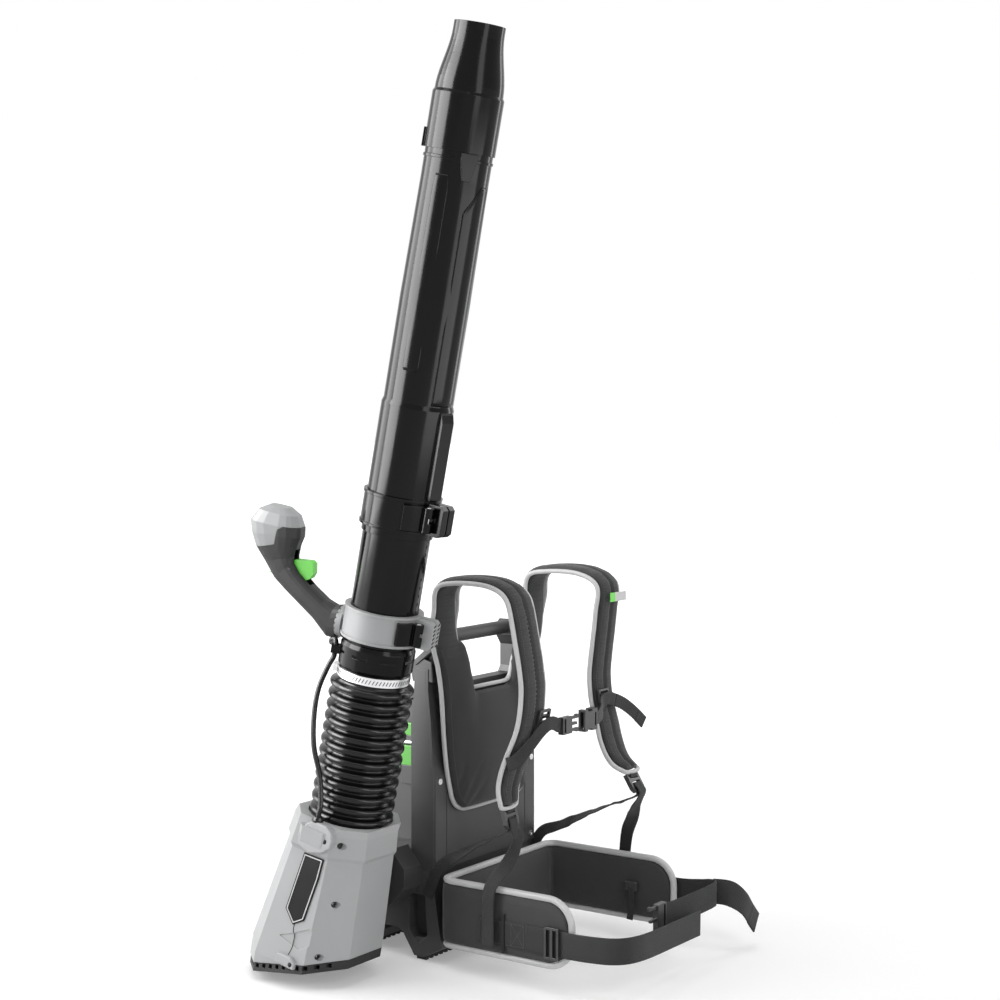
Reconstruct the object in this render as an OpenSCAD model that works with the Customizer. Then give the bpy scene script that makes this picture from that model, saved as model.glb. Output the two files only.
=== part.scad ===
// Backpack leaf blower, stowed upright beside its harness.
// +Z is up, -Y is the wearer's forward and -X is the wearer's right.
// The origin lies on the floor at the middle of the front sole.

/* [Tubes and nozzle] */
// Outer diameter of the inner tube
inner_tube_od = 97.5; // [90:0.5:104]
// Wall of the inner tube, the outer tube and the nozzle
tube_wall = 2.2; // [1.6:0.2:3]
// Length of the inner tube
inner_tube_len = 295; // [270:5:310]
// Length of the wide sleeve at the foot of the outer tube
sleeve_len = 183; // [160:1:200]
// Length of the slim part of the outer tube, up to the nozzle collar
upper_tube_len = 353; // [300:1:400]
// Outer diameter of the outer tube where it enters the nozzle
upper_tube_top_od = 94; // [90:1:96]
// Length of the nozzle collar
nozzle_collar_len = 80; // [60:1:100]
// Length of the tapered part of the nozzle
nozzle_len = 92; // [70:1:120]
// Outer diameter of the nozzle mouth
nozzle_mouth_od = 71; // [60:1:84]
// Width of the guide rail along the sleeve
rail_w = 26; // [16:1:30]
// Height of the guide rail over the sleeve
rail_h = 5.5; // [3:0.5:7]

/* [Hose] */
// Number of ribs on the hose
hose_ribs = 12; // [8:1:13]
// Distance from rib to rib
hose_pitch = 17.3; // [14:0.1:18]
// Height of a rib over the hose wall
hose_rib_h = 9.5; // [6:0.5:10]
// Wall of the hose
hose_wall = 2; // [1.5:0.1:3]
// Length of the plain cuff at the top of the hose
hose_cuff_len = 18; // [14:1:24]
// Width of the steel hose clamp
hose_clamp_w = 12; // [8:1:14]

/* [Collar and clamps] */
// Height of the collar over the hose
collar_h = 36; // [28:1:44]
// Outer diameter of the collar
collar_od = 108; // [106:0.5:112]
// Height of the handle clamp
handle_clamp_h = 45; // [36:1:54]
// Height of the outer tube's clamp
tube_clamp_h = 48; // [36:1:56]
// Thickness of the handle clamp band
handle_clamp_t = 6.5; // [4:0.5:8]
// Thickness of the outer tube's clamp band
tube_clamp_t = 3.4; // [2.5:0.1:5]
// How far the clamp ears reach out from the tube axis
ear_reach = 83; // [76:1:90]
// Thickness of one clamp ear
ear_t = 12; // [8:1:14]
// Turn of the handle clamp about the tube, away from straight back
clamp_turn = 15; // [0:1:25]
// Space along the inner tube between the two clamps
clamp_space = 110; // [100:1:130]

/* [Control handle] */
// Half width of the grip
grip_half_w = 18; // [16:0.5:20]
// Half width of the handle head
head_half_w = 24.5; // [22:0.5:28]
// Wall of the handle shells
handle_wall = 2.6; // [2:0.1:3.5]
// Width of the throttle trigger
trigger_w = 14; // [10:0.5:18]
// Radius of the cruise dial
cruise_r = 10; // [8:0.5:12]

/* [Fan unit] */
// Forward lean of the tube when stowed, in degrees
lean = 11.8; // [8:0.1:15]
// Sideways place of the tube axis
blower_x = -250; // [-270:1:-248]
// Height of the pivot over the floor
hub_z = 130; // [125:1:150]
// Distance from the panel face back to the pivot
hub_y = 87; // [80:1:95]
// Wall of the fan housing
shell_wall = 3; // [2:0.5:4]
// Half width of the housing foot on its outer side
foot_out = 97; // [85:1:100]
// Half width of the housing foot on its inner side
foot_in = 70; // [60:1:73]
// Reach of the housing foot to the front
foot_front = 78; // [70:1:85]
// Reach of the housing foot to the back
foot_back = 104; // [90:1:112]
// Radius of the fan rotor
rotor_r = 54; // [48:0.5:56]
// Number of rotor blades
rotor_blades = 11; // [7:1:15]
// Number of stator vanes
stator_vanes = 7; // [5:1:11]
// Radius of the motor
motor_r = 27; // [22:0.5:30]
// Length of the motor
motor_len = 56; // [40:1:62]
// Radius of the motor shaft
shaft_r = 4; // [3:0.5:5]

/* [Pivot] */
// Radius of the pivot spindle
spindle_r = 10; // [8:0.5:12]
// Wall of the pivot bush
bush_wall = 4; // [3:0.5:5]

/* [Back frame] */
// Width of the back frame
frame_w = 262; // [250:1:266]
// Depth of the back frame
frame_d = 46; // [40:1:50]
// Height of the front panel's lower edge
panel_z = 139; // [132:1:145]
// Height of the frame's shoulders
frame_top = 440; // [425:1:450]
// Thickness of the front panel
panel_t = 4; // [2.5:0.5:5]
// Wall of the frame and the base
frame_wall = 3; // [2:0.5:4]
// Height of the carry handle's bar
carry_z = 482; // [470:1:490]
// Radius of the carry handle's bar
carry_r = 10.5; // [8:0.5:13]
// Depth of the base from the panel face
base_d = 168; // [160:1:180]
// Thickness of the side cheeks of the base
cheek_t = 24; // [14:1:28]
// Height of the rubber soles
sole_h = 6; // [4:0.5:8]

/* [Battery] */
// Width of the battery pack
battery_w = 148; // [130:1:152]
// Depth of the battery pack
battery_d = 104; // [90:1:106]
// Height of the battery pack
battery_h = 198; // [170:1:220]
// Wall of the battery bay
bay_wall = 3; // [2:0.5:4]
// Height of the battery bay
bay_h = 112; // [90:1:114]

/* [Harness] */
// Distance of each shoulder strap from the middle
strap_x = 119; // [112:1:122]
// Width of the shoulder straps
strap_w = 62; // [54:1:66]
// Thickness of the shoulder straps
strap_t = 15; // [12:0.5:17]
// Thickness of the back pad at its edge
pad_edge_t = 13; // [10:0.5:16]
// Crown of the back pad over its edge
pad_crown = 12; // [6:0.5:16]
// Width of the narrow webbing
web_w = 20; // [18:0.5:25]
// Thickness of the webbing
web_t = 1.6; // [1.2:0.1:2]
// Width of the waist webbing
waist_web_w = 38; // [32:0.5:40]

/* [Waist belt] */
// Outer width across the two wings
belt_w = 300; // [290:1:310]
// Height of the belt pad
belt_h = 102; // [90:1:110]
// Height of the belt's lower edge over the floor
belt_z = 34; // [28:1:40]
// Thickness of the belt pad at its edge
belt_edge_t = 12; // [9:0.5:15]
// Crown of the belt pad over its edge
belt_crown = 10; // [6:0.5:12]
// Length of the wings from the belt's back face
wing_len = 237; // [220:1:250]
// Radius of the bends between back and wings
belt_bend_r = 24; // [23:1:70]

/* [Hidden] */

$fn = 48;
eps = 0.01;
slide_gap = 0.3;   // between sliding and turning round parts
rest_gap = 0.3;    // between a soft part and what it rests on
run_gap = 0.05;    // between a shaft and its bore

// ---- places across the object, from the panel's front face ----
sole_y = 31.5;               // middle of the front sole behind the panel face
panel_y = -sole_y;           // the panel face in the object's frame
frame_half = frame_w / 2;
hub_plate_x = -frame_half - 40.5;

// ---- places along the tube axis, from the pivot ----
neck_u = 108;
hose_top_u = neck_u + hose_ribs * hose_pitch;
collar_u = hose_top_u + hose_cuff_len + 2;
collar_top_u = collar_u + collar_h;
handle_clamp_u = collar_top_u + 6;
handle_clamp_top_u = handle_clamp_u + handle_clamp_h;
sleeve_u = handle_clamp_top_u + clamp_space;
tube_clamp_u = sleeve_u + 10;
tube_clamp_top_u = tube_clamp_u + tube_clamp_h;
step_u = sleeve_u + sleeve_len;
step_h = 6;
inner_tube_u = collar_u + 10;
inner_tube_top_u = inner_tube_u + inner_tube_len;
nozzle_u = step_u + upper_tube_len;
nozzle_neck_u = nozzle_u + nozzle_collar_len;
mouth_u = nozzle_neck_u + nozzle_len;
mouth_land = 10;

// ---- radii about the tube axis ----
inner_r = inner_tube_od / 2;
bore_r = inner_r - tube_wall;
sleeve_in_r = inner_r + slide_gap;
sleeve_r = sleeve_in_r + tube_wall;
upper_r = inner_r + 0.4;
upper_top_r = upper_tube_top_od / 2;
collar_in_r = upper_top_r + slide_gap;
collar_out_r = collar_in_r + tube_wall;
mouth_r = nozzle_mouth_od / 2;
mouth_bore_r = mouth_r - tube_wall;
spigot_r = inner_r + 0.3;
hose_bore_r = spigot_r + 0.3;
hose_root_r = hose_bore_r + hose_wall;
hose_crest_r = hose_root_r + hose_rib_h;
handle_clamp_in_r = inner_r + slide_gap;
handle_clamp_r = handle_clamp_in_r + handle_clamp_t;
tube_clamp_in_r = sleeve_r + 0.1;
tube_clamp_r = tube_clamp_in_r + tube_clamp_t;

// ---- colours ----
tube_black = [0.07, 0.07, 0.08];
rubber_black = [0.05, 0.05, 0.05];
frame_black = [0.12, 0.12, 0.13];
fabric_grey = [0.22, 0.22, 0.23];
web_black = [0.13, 0.13, 0.14];
shell_grey = [0.66, 0.66, 0.66];
signal_green = [0.3, 0.9, 0.1];
steel = [0.75, 0.75, 0.76];

// ======================= general helpers =======================

module on_pack() {
  translate([0, panel_y, 0]) children();
}

// Origin at the pivot, +Z up the tube axis
module on_blower() {
  translate([blower_x, panel_y + hub_y, hub_z]) rotate([lean, 0, 0]) children();
}

// As on_blower, with +Y along the control handle
module on_clamp() {
  on_blower() rotate([0, 0, clamp_turn]) children();
}

// Extrudes an outline drawn in (y, z) across X, from x0 to x1
module across(x0, x1) {
  translate([x0, 0, 0]) rotate([90, 0, 90]) linear_extrude(x1 - x0) children();
}

module tube(r_out, r_in, h) {
  difference() {
    cylinder(r = r_out, h = h, $fn = 96);
    translate([0, 0, -1]) cylinder(r = r_in, h = h + 2, $fn = 96);
  }
}

module box(low, high) {
  translate(low) cube(high - low);
}

// A box with its four upright edges cut at 45 degrees
module chamfer_box(low, high, c) {
  translate([0, 0, low[2]]) linear_extrude(high[2] - low[2]) polygon([
    [low[0] + c, low[1]], [high[0] - c, low[1]], [high[0], low[1] + c], [high[0], high[1] - c],
    [high[0] - c, high[1]], [low[0] + c, high[1]], [low[0], high[1] - c], [low[0], low[1] + c]]);
}

function unit(v) = v / norm(v);
function tangent(p, i) = unit(p[min(i + 1, len(p) - 1)] - p[max(i - 1, 0)]);
// One ring of a sweep: section points [a, b] with a along the width and b along the normal
function ring_at(p, w, t, section) =
  let (side = unit(w - (w * t) * t), up = cross(t, side))
  [for (s = section) p + s[0] * side + s[1] * up];

// Closes a stack of rings of equal length into one solid; rings turn left about the way they go
module loft(rings) {
  n = len(rings[0]);
  m = len(rings);
  points = [for (r = rings) each r];
  sides = [for (j = [0:m - 2], i = [0:n - 1])
    let (a = j * n + i, b = j * n + (i + 1) % n)
    each [[a, b + n, b], [a, a + n, b + n]]];
  ends = [[for (i = [0:n - 1]) i], [for (i = [n - 1:-1:0]) (m - 1) * n + i]];
  polyhedron(points, concat(sides, ends), convexity = 8);
}

// Sweeps a section along points; width is one vector, or one for each point
module sweep(path, width, section) {
  loft([for (i = [0:len(path) - 1])
    ring_at(path[i], is_num(width[0]) ? width : width[i], tangent(path, i), section)]);
}

function flat_section(w, t) = [[-w / 2, -t / 2], [w / 2, -t / 2], [w / 2, t / 2], [-w / 2, t / 2]];
function round_section(r, n) = [for (i = [0:n - 1]) r * [cos(360 * i / n), sin(360 * i / n)]];
// Padded strap: drawn in at its two edges, with a sewn channel down the middle of each face
function strap_section(w, t) =
  let (e = t * 0.22, g = t * 0.42)
  [[-w / 2, -e], [-w * 0.42, -t / 2 + 1], [-w * 0.24, -t / 2], [-w * 0.03, -t / 2], [0, -g],
   [w * 0.03, -t / 2], [w * 0.24, -t / 2], [w * 0.42, -t / 2 + 1], [w / 2, -e], [w / 2, e],
   [w * 0.42, t / 2 - 1], [0, t / 2], [-w * 0.42, t / 2 - 1], [-w / 2, e]];

module webbing(path, width_dir, w = web_w, t = web_t) {
  sweep(path, width_dir, flat_section(w, t));
}

// A cushion between a front and a back surface, both functions of a and b from 0 to 1
module cushion(na, nb, front, back) {
  row = na + 1;
  count = row * (nb + 1);
  points = concat(
    [for (j = [0:nb], i = [0:na]) front(i / na, j / nb)],
    [for (j = [0:nb], i = [0:na]) back(i / na, j / nb)]);
  cells = [for (j = [0:nb - 1], i = [0:na - 1])
    let (a = j * row + i)
    each [[a, a + row + 1, a + 1], [a, a + row, a + row + 1],
          [count + a, count + a + 1, count + a + row + 1],
          [count + a, count + a + row + 1, count + a + row]]];
  low = [for (i = [0:na - 1]) each [[i, count + i + 1, count + i], [i, i + 1, count + i + 1]]];
  top = [for (i = [0:na - 1])
    let (a = nb * row + i) each [[a, count + a + 1, a + 1], [a, count + a, count + a + 1]]];
  left = [for (j = [0:nb - 1])
    let (a = j * row) each [[a, count + a + row, a + row], [a, count + a, count + a + row]]];
  right = [for (j = [0:nb - 1])
    let (a = j * row + na)
    each [[a, count + a + row, count + a], [a, a + row, count + a + row]]];
  polyhedron(points, concat(cells, low, top, left, right), convexity = 6);
}

function smooth(x) = let (c = max(0, min(1, x))) c * c * (3 - 2 * c);
// 1 in the middle of a cushion and 0 at its edge, with full sides
function swell(a) = pow(max(0, 1 - pow(abs(2 * a - 1), 3)), 0.6);

// ======================= back frame and base =======================

// Side outline of the base cheeks in (y, z), from the panel face
cheek_outline = [
  [-11, 24], [22, sole_h], [41, sole_h], [62, 38], [72, 44], [base_d - 42, 44], [base_d - 28, sole_h],
  [base_d - 4, sole_h], [base_d, 28], [base_d - 12, 100], [base_d - 12, 165],
  [frame_d + 0.3, 165], [frame_d + 0.3, panel_z - 0.3], [4, panel_z - 0.3], [4, 112], [-3, 68]];

module base_frame() {
  on_pack() color(frame_black) {
    for (s = [0, 1]) mirror([s, 0, 0])
      difference() {
        across(frame_half - cheek_t, frame_half) polygon(cheek_outline);
        across(frame_half - cheek_t + 4, frame_half + 1) polygon([[16, 40], [34, 24], [50, 46], [50, 100], [20, 100]]);
      }
    // Front and rear sole bars
    across(-frame_half + 1, frame_half - 1)
      polygon([[-11, 24], [22, sole_h], [41, sole_h], [52, 24], [40, 34], [-8, 40]]);
    across(-frame_half + 1, frame_half - 1)
      polygon([[base_d - 34, 20], [base_d - 28, sole_h], [base_d - 4, sole_h], [base_d, 28], [base_d - 3, 40],
        [base_d - 28, 40]]);
    // Hollow middle under the battery bay
    difference() {
      across(-frame_half + cheek_t, frame_half - cheek_t)
        polygon([[4, 62], [base_d - 14, 62], [base_d - 14, 165], [frame_d + 0.3, 165],
          [frame_d + 0.3, panel_z - 0.3], [4, panel_z - 0.3]]);
      across(-frame_half + cheek_t - 1, frame_half - cheek_t + 1)
        polygon([[4 + frame_wall, 61], [base_d - 14 - frame_wall, 61],
          [base_d - 14 - frame_wall, 165 - frame_wall],
          [frame_d + frame_wall, 165 - frame_wall],
          [frame_d + frame_wall, panel_z - 0.3 - frame_wall],
          [4 + frame_wall, panel_z - 0.3 - frame_wall]]);
    }
    // Boss that carries the belt's back pad
    box([-72, -belt_y + rest_gap, belt_z + 22], [72, 4, belt_z + belt_h - 14]);
  }
}

module sole(y0, y1) {
  tooth = 6;
  difference() {
    across(-frame_half + 6, frame_half - 6)
      polygon([[y0, 0], [y1, 0], [y1, sole_h], [y0, sole_h]]);
    for (x = [-frame_half + 12 : 2 * tooth : frame_half - 18]) {
      box([x, y0 - 1, -1], [x + tooth, y0 + 5, 2.5]);
      box([x, y1 - 5, -1], [x + tooth, y1 + 1, 2.5]);
    }
  }
}

module foot_soles() {
  on_pack() color(rubber_black) {
    sole(sole_y - 9, sole_y + 9);
    sole(base_d - 26, base_d - 6);
  }
}

frame_front = [[panel_t, panel_z], [panel_t, 280], [panel_t + 5, 300], [panel_t + 9, 362],
  [panel_t + 14, 409], [panel_t + 14, frame_top]];
handle_notch = 112.5;       // half width of the notch that the carry handle stands in
handle_z = 394;             // height of the notch's floor

module back_frame() {
  // Posts for the panel screws
  on_pack() color(frame_black) for (h = panel_holes) translate([h[0], panel_t, h[1]]) rotate([-90, 0, 0])
    difference() {
      cylinder(r = 5.5, h = frame_d - panel_t - 1);
      translate([0, 0, -1]) cylinder(r = 2.5, h = 12);
    }
  on_pack() color(frame_black) difference() {
    across(-frame_half, frame_half)
      polygon(concat(frame_front, [[frame_d - 8, frame_top], [frame_d - 4, 384], [frame_d, 354],
        [frame_d, panel_z]]));
    across(-frame_half + frame_wall, frame_half - frame_wall)
      polygon([[panel_t - 1, panel_z + frame_wall], [panel_t - 1, 284], [panel_t + 8, 366],
        [panel_t + 12, handle_z - frame_wall], [frame_d - 4 - frame_wall, handle_z - frame_wall],
        [frame_d - frame_wall, 354], [frame_d - frame_wall, panel_z + frame_wall]]);
    box([-handle_notch, -1, handle_z], [handle_notch, frame_d + 1, frame_top + 1]);
    for (s = [-1, 1])
      box([s * 126 - 1.7, -1, 296], [s * 126 + 1.7, 30, 352]);
  }
}

panel_holes = [[-121, 149], [121, 149], [-121, 272], [121, 272]];

module front_panel() {
  on_pack() color(frame_black) difference() {
    across(-frame_half, frame_half)
      polygon(concat([for (p = frame_front) p - [0.1, 0]],
        [for (i = [len(frame_front) - 1:-1:0]) frame_front[i] - [panel_t, 0]]));
    box([-handle_notch, -20, handle_z], [handle_notch, frame_d, frame_top + 1]);
    for (h = panel_holes) translate([h[0], -1, h[1]]) rotate([-90, 0, 0]) cylinder(r = 2.6, h = 12);
    // Raised field edges along both sides
    for (s = [-1, 1]) box([s * 104 - 1, -1, panel_z + 16], [s * 104 + 1, 1, 270]);
  }
}

module panel_screws() {
  on_pack() color(steel) for (h = panel_holes) translate([h[0], 0, h[1]]) rotate([-90, 0, 0])
    difference() {
      union() {
        translate([0, 0, -1.8]) cylinder(r = 4.5, h = 1.8);
        cylinder(r = 2.5, h = 10);
      }
      translate([0, 0, -2]) cylinder(r = 2, h = 1.2, $fn = 6);
    }
}

carry_y = 24;               // middle of the carry handle behind the panel face

module carry_handle() {
  ear_out = handle_notch - 0.4;
  on_pack() color(frame_black) {
    translate([-86, carry_y, carry_z]) rotate([0, 90, 0]) cylinder(r = carry_r, h = 172);
    box([-86, carry_y - 12, handle_z], [86, carry_y + 12, handle_z + 17]);
    for (s = [0, 1]) mirror([s, 0, 0])
      translate([0, carry_y + 15, 0]) rotate([90, 0, 0]) linear_extrude(30)
        polygon([[86, handle_z], [ear_out, handle_z], [ear_out, carry_z - 34],
          [104, carry_z + 10], [90, carry_z + 12], [80, carry_z + 4], [80, carry_z - 12],
          [92, carry_z - 28], [92, handle_z + 26], [86, handle_z + 17]]);
  }
}

module hub_mount() {
  half_y = 59;
  half_z = 43;
  c = 30;
  on_pack() color(frame_black) translate([0, hub_y, hub_z]) difference() {
    union() {
      across(hub_plate_x - 0, -frame_half - 0.1) polygon([
        [-half_y, -c / 2], [-half_y, c / 2], [-half_y + 24, half_z], [half_y - 24, half_z],
        [half_y, c / 2], [half_y, -c / 2], [half_y - 24, -half_z], [-half_y + 30, -half_z]]);
    }
    translate([hub_plate_x - 1, 0, 0]) rotate([0, 90, 0])
      cylinder(r = spindle_r + 0.02, h = 38);
    across(hub_plate_x + 6, -frame_half + 1) polygon([
      [-half_y + 5, -c / 2], [-half_y + 5, c / 2], [-half_y + 26, half_z - 5], [-20, half_z - 5],
      [-20, -half_z + 5], [-half_y + 32, -half_z + 5]]);
    across(hub_plate_x + 6, -frame_half + 1) polygon([
      [20, -half_z + 5], [20, half_z - 5], [half_y - 26, half_z - 5], [half_y - 5, c / 2],
      [half_y - 5, -c / 2], [half_y - 26, -half_z + 5]]);
  }
}

spindle_x0 = blower_x + 63;           // free end of the spindle, inside the fan unit
module pivot_spindle() {
  on_pack() color(steel) translate([spindle_x0, hub_y, hub_z]) rotate([0, 90, 0])
    cylinder(r = spindle_r, h = hub_plate_x + 36 - spindle_x0);
}

module control_board() {
  on_pack() color([0.1, 0.35, 0.2]) {
    box([-90, 20, 190], [90, 22, 330]);
    box([-60, 22, 220], [60, frame_d - frame_wall, 300]);
    for (x = [-80, 80], z = [196, 324]) translate([x, 22, z]) rotate([-90, 0, 0])
      cylinder(r = 4, h = frame_d - frame_wall - 22);
  }
}

// ======================= battery =======================

bay_y = frame_d + 0.3;
bay_z = 165;
bay_in = battery_w / 2 + 1;
battery_y = bay_y + 1;
battery_z = bay_z + 12;

module battery_bay() {
  out = bay_in + bay_wall;
  on_pack() color(frame_black) {
    difference() {
      box([-out, bay_y, bay_z], [out, battery_y + battery_d + 1 + bay_wall, bay_z + bay_h]);
      box([-bay_in, bay_y - 1, bay_z + bay_wall],
        [bay_in, battery_y + battery_d + 1, bay_z + bay_h + 1]);
      box([-out - 1, battery_y + 18, bay_z + bay_h - 26],
        [-bay_in + 1, battery_y + 56, bay_z + bay_h + 1]);
    }
    // Lugs and pin that the release rocks on
    for (y = [release_y - 4.3, release_y + 34.3]) box([-out - 7, y, bay_z + bay_h - 8], [-bay_in - eps, y + 4, release_z + 36]);
    translate([-out - 3.8, release_y - 2, release_z + 30]) rotate([-90, 0, 0]) cylinder(r = 2, h = 38);
    // Rails down both sides
    for (s = [-1, 1]) box([s * (out + 2) - 2, bay_y, bay_z], [s * (out + 2) + 2, bay_y + 10, bay_z + bay_h + 60]);
  }
}

module battery_contacts() {
  on_pack() color(steel) for (x = [-30, -10, 10, 30])
    box([x - 2, battery_y + 40, bay_z + bay_wall], [x + 2, battery_y + 62, battery_z - 0.3]);
}

module battery_pack() {
  low = [-battery_w / 2, battery_y, battery_z];
  high = [battery_w / 2, battery_y + battery_d, battery_z + battery_h];
  on_pack() {
    color(frame_black) difference() {
      chamfer_box(low, high, 10);
      box([-46, battery_y + 30, high[2] - 26], [46, battery_y + 74, high[2] + 1]);
    }
    color(frame_black) translate([-47, battery_y + 52, high[2] - 8]) rotate([0, 90, 0]) cylinder(r = 8, h = 94);
  }
}

release_y = battery_y + 20;
release_z = bay_z + bay_h - 25;
module battery_release() {
  x1 = -bay_in - bay_wall - 0.3;
  on_pack() color(signal_green) {
    difference() {
      box([x1 - 7, release_y, release_z], [x1, release_y + 34, release_z + 60]);
      for (k = [0:3]) box([x1 - 9, release_y + 3, release_z + 40 + 4 * k], [x1 - 6, release_y + 31, release_z + 41.6 + 4 * k]);
      translate([x1 - 3.5, release_y - 1, release_z + 30]) rotate([-90, 0, 0]) cylinder(r = 2 + run_gap, h = 36);
    }
    // Hook that reaches through the bay wall under the pack's shoulder
    box([x1 - eps, release_y + 2, release_z + 4], [-bay_in - 0.4, release_y + 32, release_z + 12]);
  }
}

// ======================= harness pads =======================

pad_z0 = 219;
pad_z1 = 470;
neck_z = 405;
// Half width of the back pad at each height
pad_edge = [[219, 60], [222, 74], [228, 87], [237, 95], [250, 101], [291, 112], [337, 118.5], [354, 120],
  [400, 124], [440, 132], [470, 142]];
function pad_half(z) = lookup(z, pad_edge);
function pad_top(s) = neck_z + (pad_z1 - neck_z) * smooth((abs(s) - 0.42) / 0.13);
function pad_point(a, b, y) =
  let (s = 2 * a - 1, z = pad_z0 + b * (0.4 + 0.6 * b) * (pad_top(s) - pad_z0)) [s * pad_half(z), y, z];

module back_pad() {
  on_pack() color(fabric_grey) cushion(28, 16,
    function(a, b) pad_point(a, b, -rest_gap - pad_edge_t - pad_crown * swell(a) * swell(b)),
    function(a, b) pad_point(a, b, -rest_gap));
}

// Routes of the middle of the two shoulder straps in (y, z), from the panel face
strap_route_right = [[-7.5, 470.4], [-6.5, 500], [-6.5, 530], [-7.5, 552], [-13, 565.5], [-25, 572.5],
  [-46, 575.5], [-68, 576.5], [-90, 576], [-111, 573], [-130, 565.5], [-142, 553], [-148.5, 534],
  [-156, 498], [-163, 463], [-167.5, 428], [-165, 392], [-158.5, 364], [-148.5, 341], [-139, 320],
  [-131, 299], [-127, 277], [-131, 255]];
strap_route_left = [[-7.5, 470.4], [-6.5, 500], [-6.5, 530], [-7.5, 552], [-13, 565.5], [-25, 572.5],
  [-46, 575.5], [-68, 577], [-90, 577], [-111, 574.5], [-132, 567.5], [-144.5, 556], [-147, 540],
  [-143.5, 520], [-141, 496], [-138, 472], [-134, 441], [-132, 418], [-133, 396], [-136.5, 374],
  [-146, 342], [-152, 319], [-160, 297], [-170, 282], [-184, 273]];

module shoulder_strap(route, side) {
  n = len(route);
  end_taper = [0.06, 0.15, 0.3];
  taper = [for (i = [0:n - 1]) i < n - 3 ? 0 : end_taper[i - n + 3]];
  path = [for (i = [0:n - 1]) [side * (strap_x + taper[i] * strap_w * 0.4), route[i][0], route[i][1]]];
  rings = [for (i = [0:n - 1])
    ring_at(path[i], [1, 0, 0], tangent(path, i), strap_section(strap_w * (1 - taper[i]), strap_t))];
  on_pack() color(fabric_grey) loft(rings);
}
module shoulder_strap_right() { shoulder_strap(strap_route_right, -1); }
module shoulder_strap_left() { shoulder_strap(strap_route_left, 1); }

// ---- belt pads ----
belt_y = 15;
belt_mid_z = belt_z + belt_h / 2;
bend_len = belt_bend_r * PI / 2;
wing_total = bend_len + wing_len - belt_bend_r;
end_round = 42;

// Point on the right wing: s along it from the back, v from -1 to 1 up it, t inwards
function wing_half_h(s) =
  let (d = s - (wing_total - end_round))
  d <= 0 ? belt_h / 2 : belt_h / 2 - end_round + sqrt(max(0, pow(end_round, 2) - d * d));
function wing_plan(s, t) =
  s < bend_len
    ? let (g = s / bend_len * 90, r = belt_bend_r - t, c = belt_w / 2 - belt_bend_r)
      [-c - r * sin(g), -belt_y - belt_bend_r + r * cos(g)]
    : [-belt_w / 2 + t, -belt_y - belt_bend_r - (s - bend_len)];
function wing_point(s, v, t) =
  let (p = wing_plan(s, t)) [p[0], p[1], belt_mid_z + v * wing_half_h(s)];
function wing_s(a) = wing_total * (a < 0.7 ? a * 1.12 : 0.784 + (a - 0.7) * 0.72);

module belt_wing() {
  on_pack() color(fabric_grey) cushion(22, 10,
    function(a, b) wing_point(wing_s(a), 2 * b - 1, -1.2 * swell(b) * swell(max(0.5, a))),
    function(a, b) wing_point(wing_s(a), 2 * b - 1,
      belt_edge_t + belt_crown * swell(b) * swell(max(0.5, a))));
}
module belt_wing_right() { belt_wing(); }
module belt_wing_left() { mirror([1, 0, 0]) belt_wing(); }

module belt_back_pad() {
  half = belt_w / 2 - belt_bend_r - 0.1;
  on_pack() color(fabric_grey) cushion(10, 10,
    function(a, b) [half * (1 - 2 * a), -belt_y, belt_z + b * belt_h],
    function(a, b) [half * (1 - 2 * a), -belt_y - belt_edge_t - belt_crown * swell(b), belt_z + b * belt_h]);
}

// ======================= harness webbing and buckles =======================

strap_front_gap = strap_t / 2 + 1.4;

// Three-bar slider lying in the XZ plane, centred on the origin, w wide
module slider_body(w, h, t = 4) {
  translate([0, t / 2, 0]) rotate([90, 0, 0]) linear_extrude(t) difference() {
    square([w + 8, h], center = true);
    for (s = [-1, 1]) translate([0, s * h / 4.4]) square([w + 1, h / 2 - 5.5], center = true);
  }
}

chest_z = 380;
module strap_sliders() {
  on_pack() color(rubber_black) {
    translate([-strap_x + 16, -163.3 - strap_t / 2 - 2.6, chest_z + 4]) rotate([12.5, 0, 0]) slider_body(web_w, 20);
    translate([strap_x - 12, -134.9 - strap_t / 2 - 2.6, chest_z + 5]) rotate([-9.5, 0, 0]) slider_body(web_w, 20);
  }
}

// Ladder lock: a cranked frame with three bars, its mouth towards +Z
module ladder_lock() {
  w = web_w + 12;
  color(rubber_black) rotate([90, 0, 0]) translate([0, 0, -3.5]) linear_extrude(7) difference() {
    polygon([[-w / 2, 15], [w / 2, 15], [w / 2, -9], [w / 2 - 5, -15], [-w / 2 + 5, -15], [-w / 2, -9]]);
    translate([-web_w / 2 - 1, 6]) square([web_w + 2, 4.5]);
    translate([-web_w / 2 - 1, -3]) square([web_w + 2, 5]);
    translate([-web_w / 2 - 1, -12]) square([web_w + 2, 5]);
  }
}
lock_right = [-124, -129, 235];
lock_left = [124, -190.6, 252];
module ladder_lock_right() { on_pack() translate(lock_right) rotate([-14, 0, 0]) ladder_lock(); }
module ladder_lock_left() { on_pack() translate(lock_left) rotate([-32, 0, 0]) ladder_lock(); }

// A point given in a frame at o that leans back by a about X
function leaned(o, a, q) = o + [q[0], q[1] * cos(a) - q[2] * sin(a), q[1] * sin(a) + q[2] * cos(a)];
// Short loop from the strap's end through the lock's top slot, its two ends at back and front
module lock_loop(o, a, back, front) {
  webbing([for (q = [[0, 5.1, back], [0, 5.1, 12.4], [0, 4.2, 9.2], [0, 0, 7.6], [0, -4.2, 9.2], [0, -5.1, 12.4], [0, -5.1, front]])
    leaned(o, a, q)], [1, 0, 0]);
}
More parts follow.
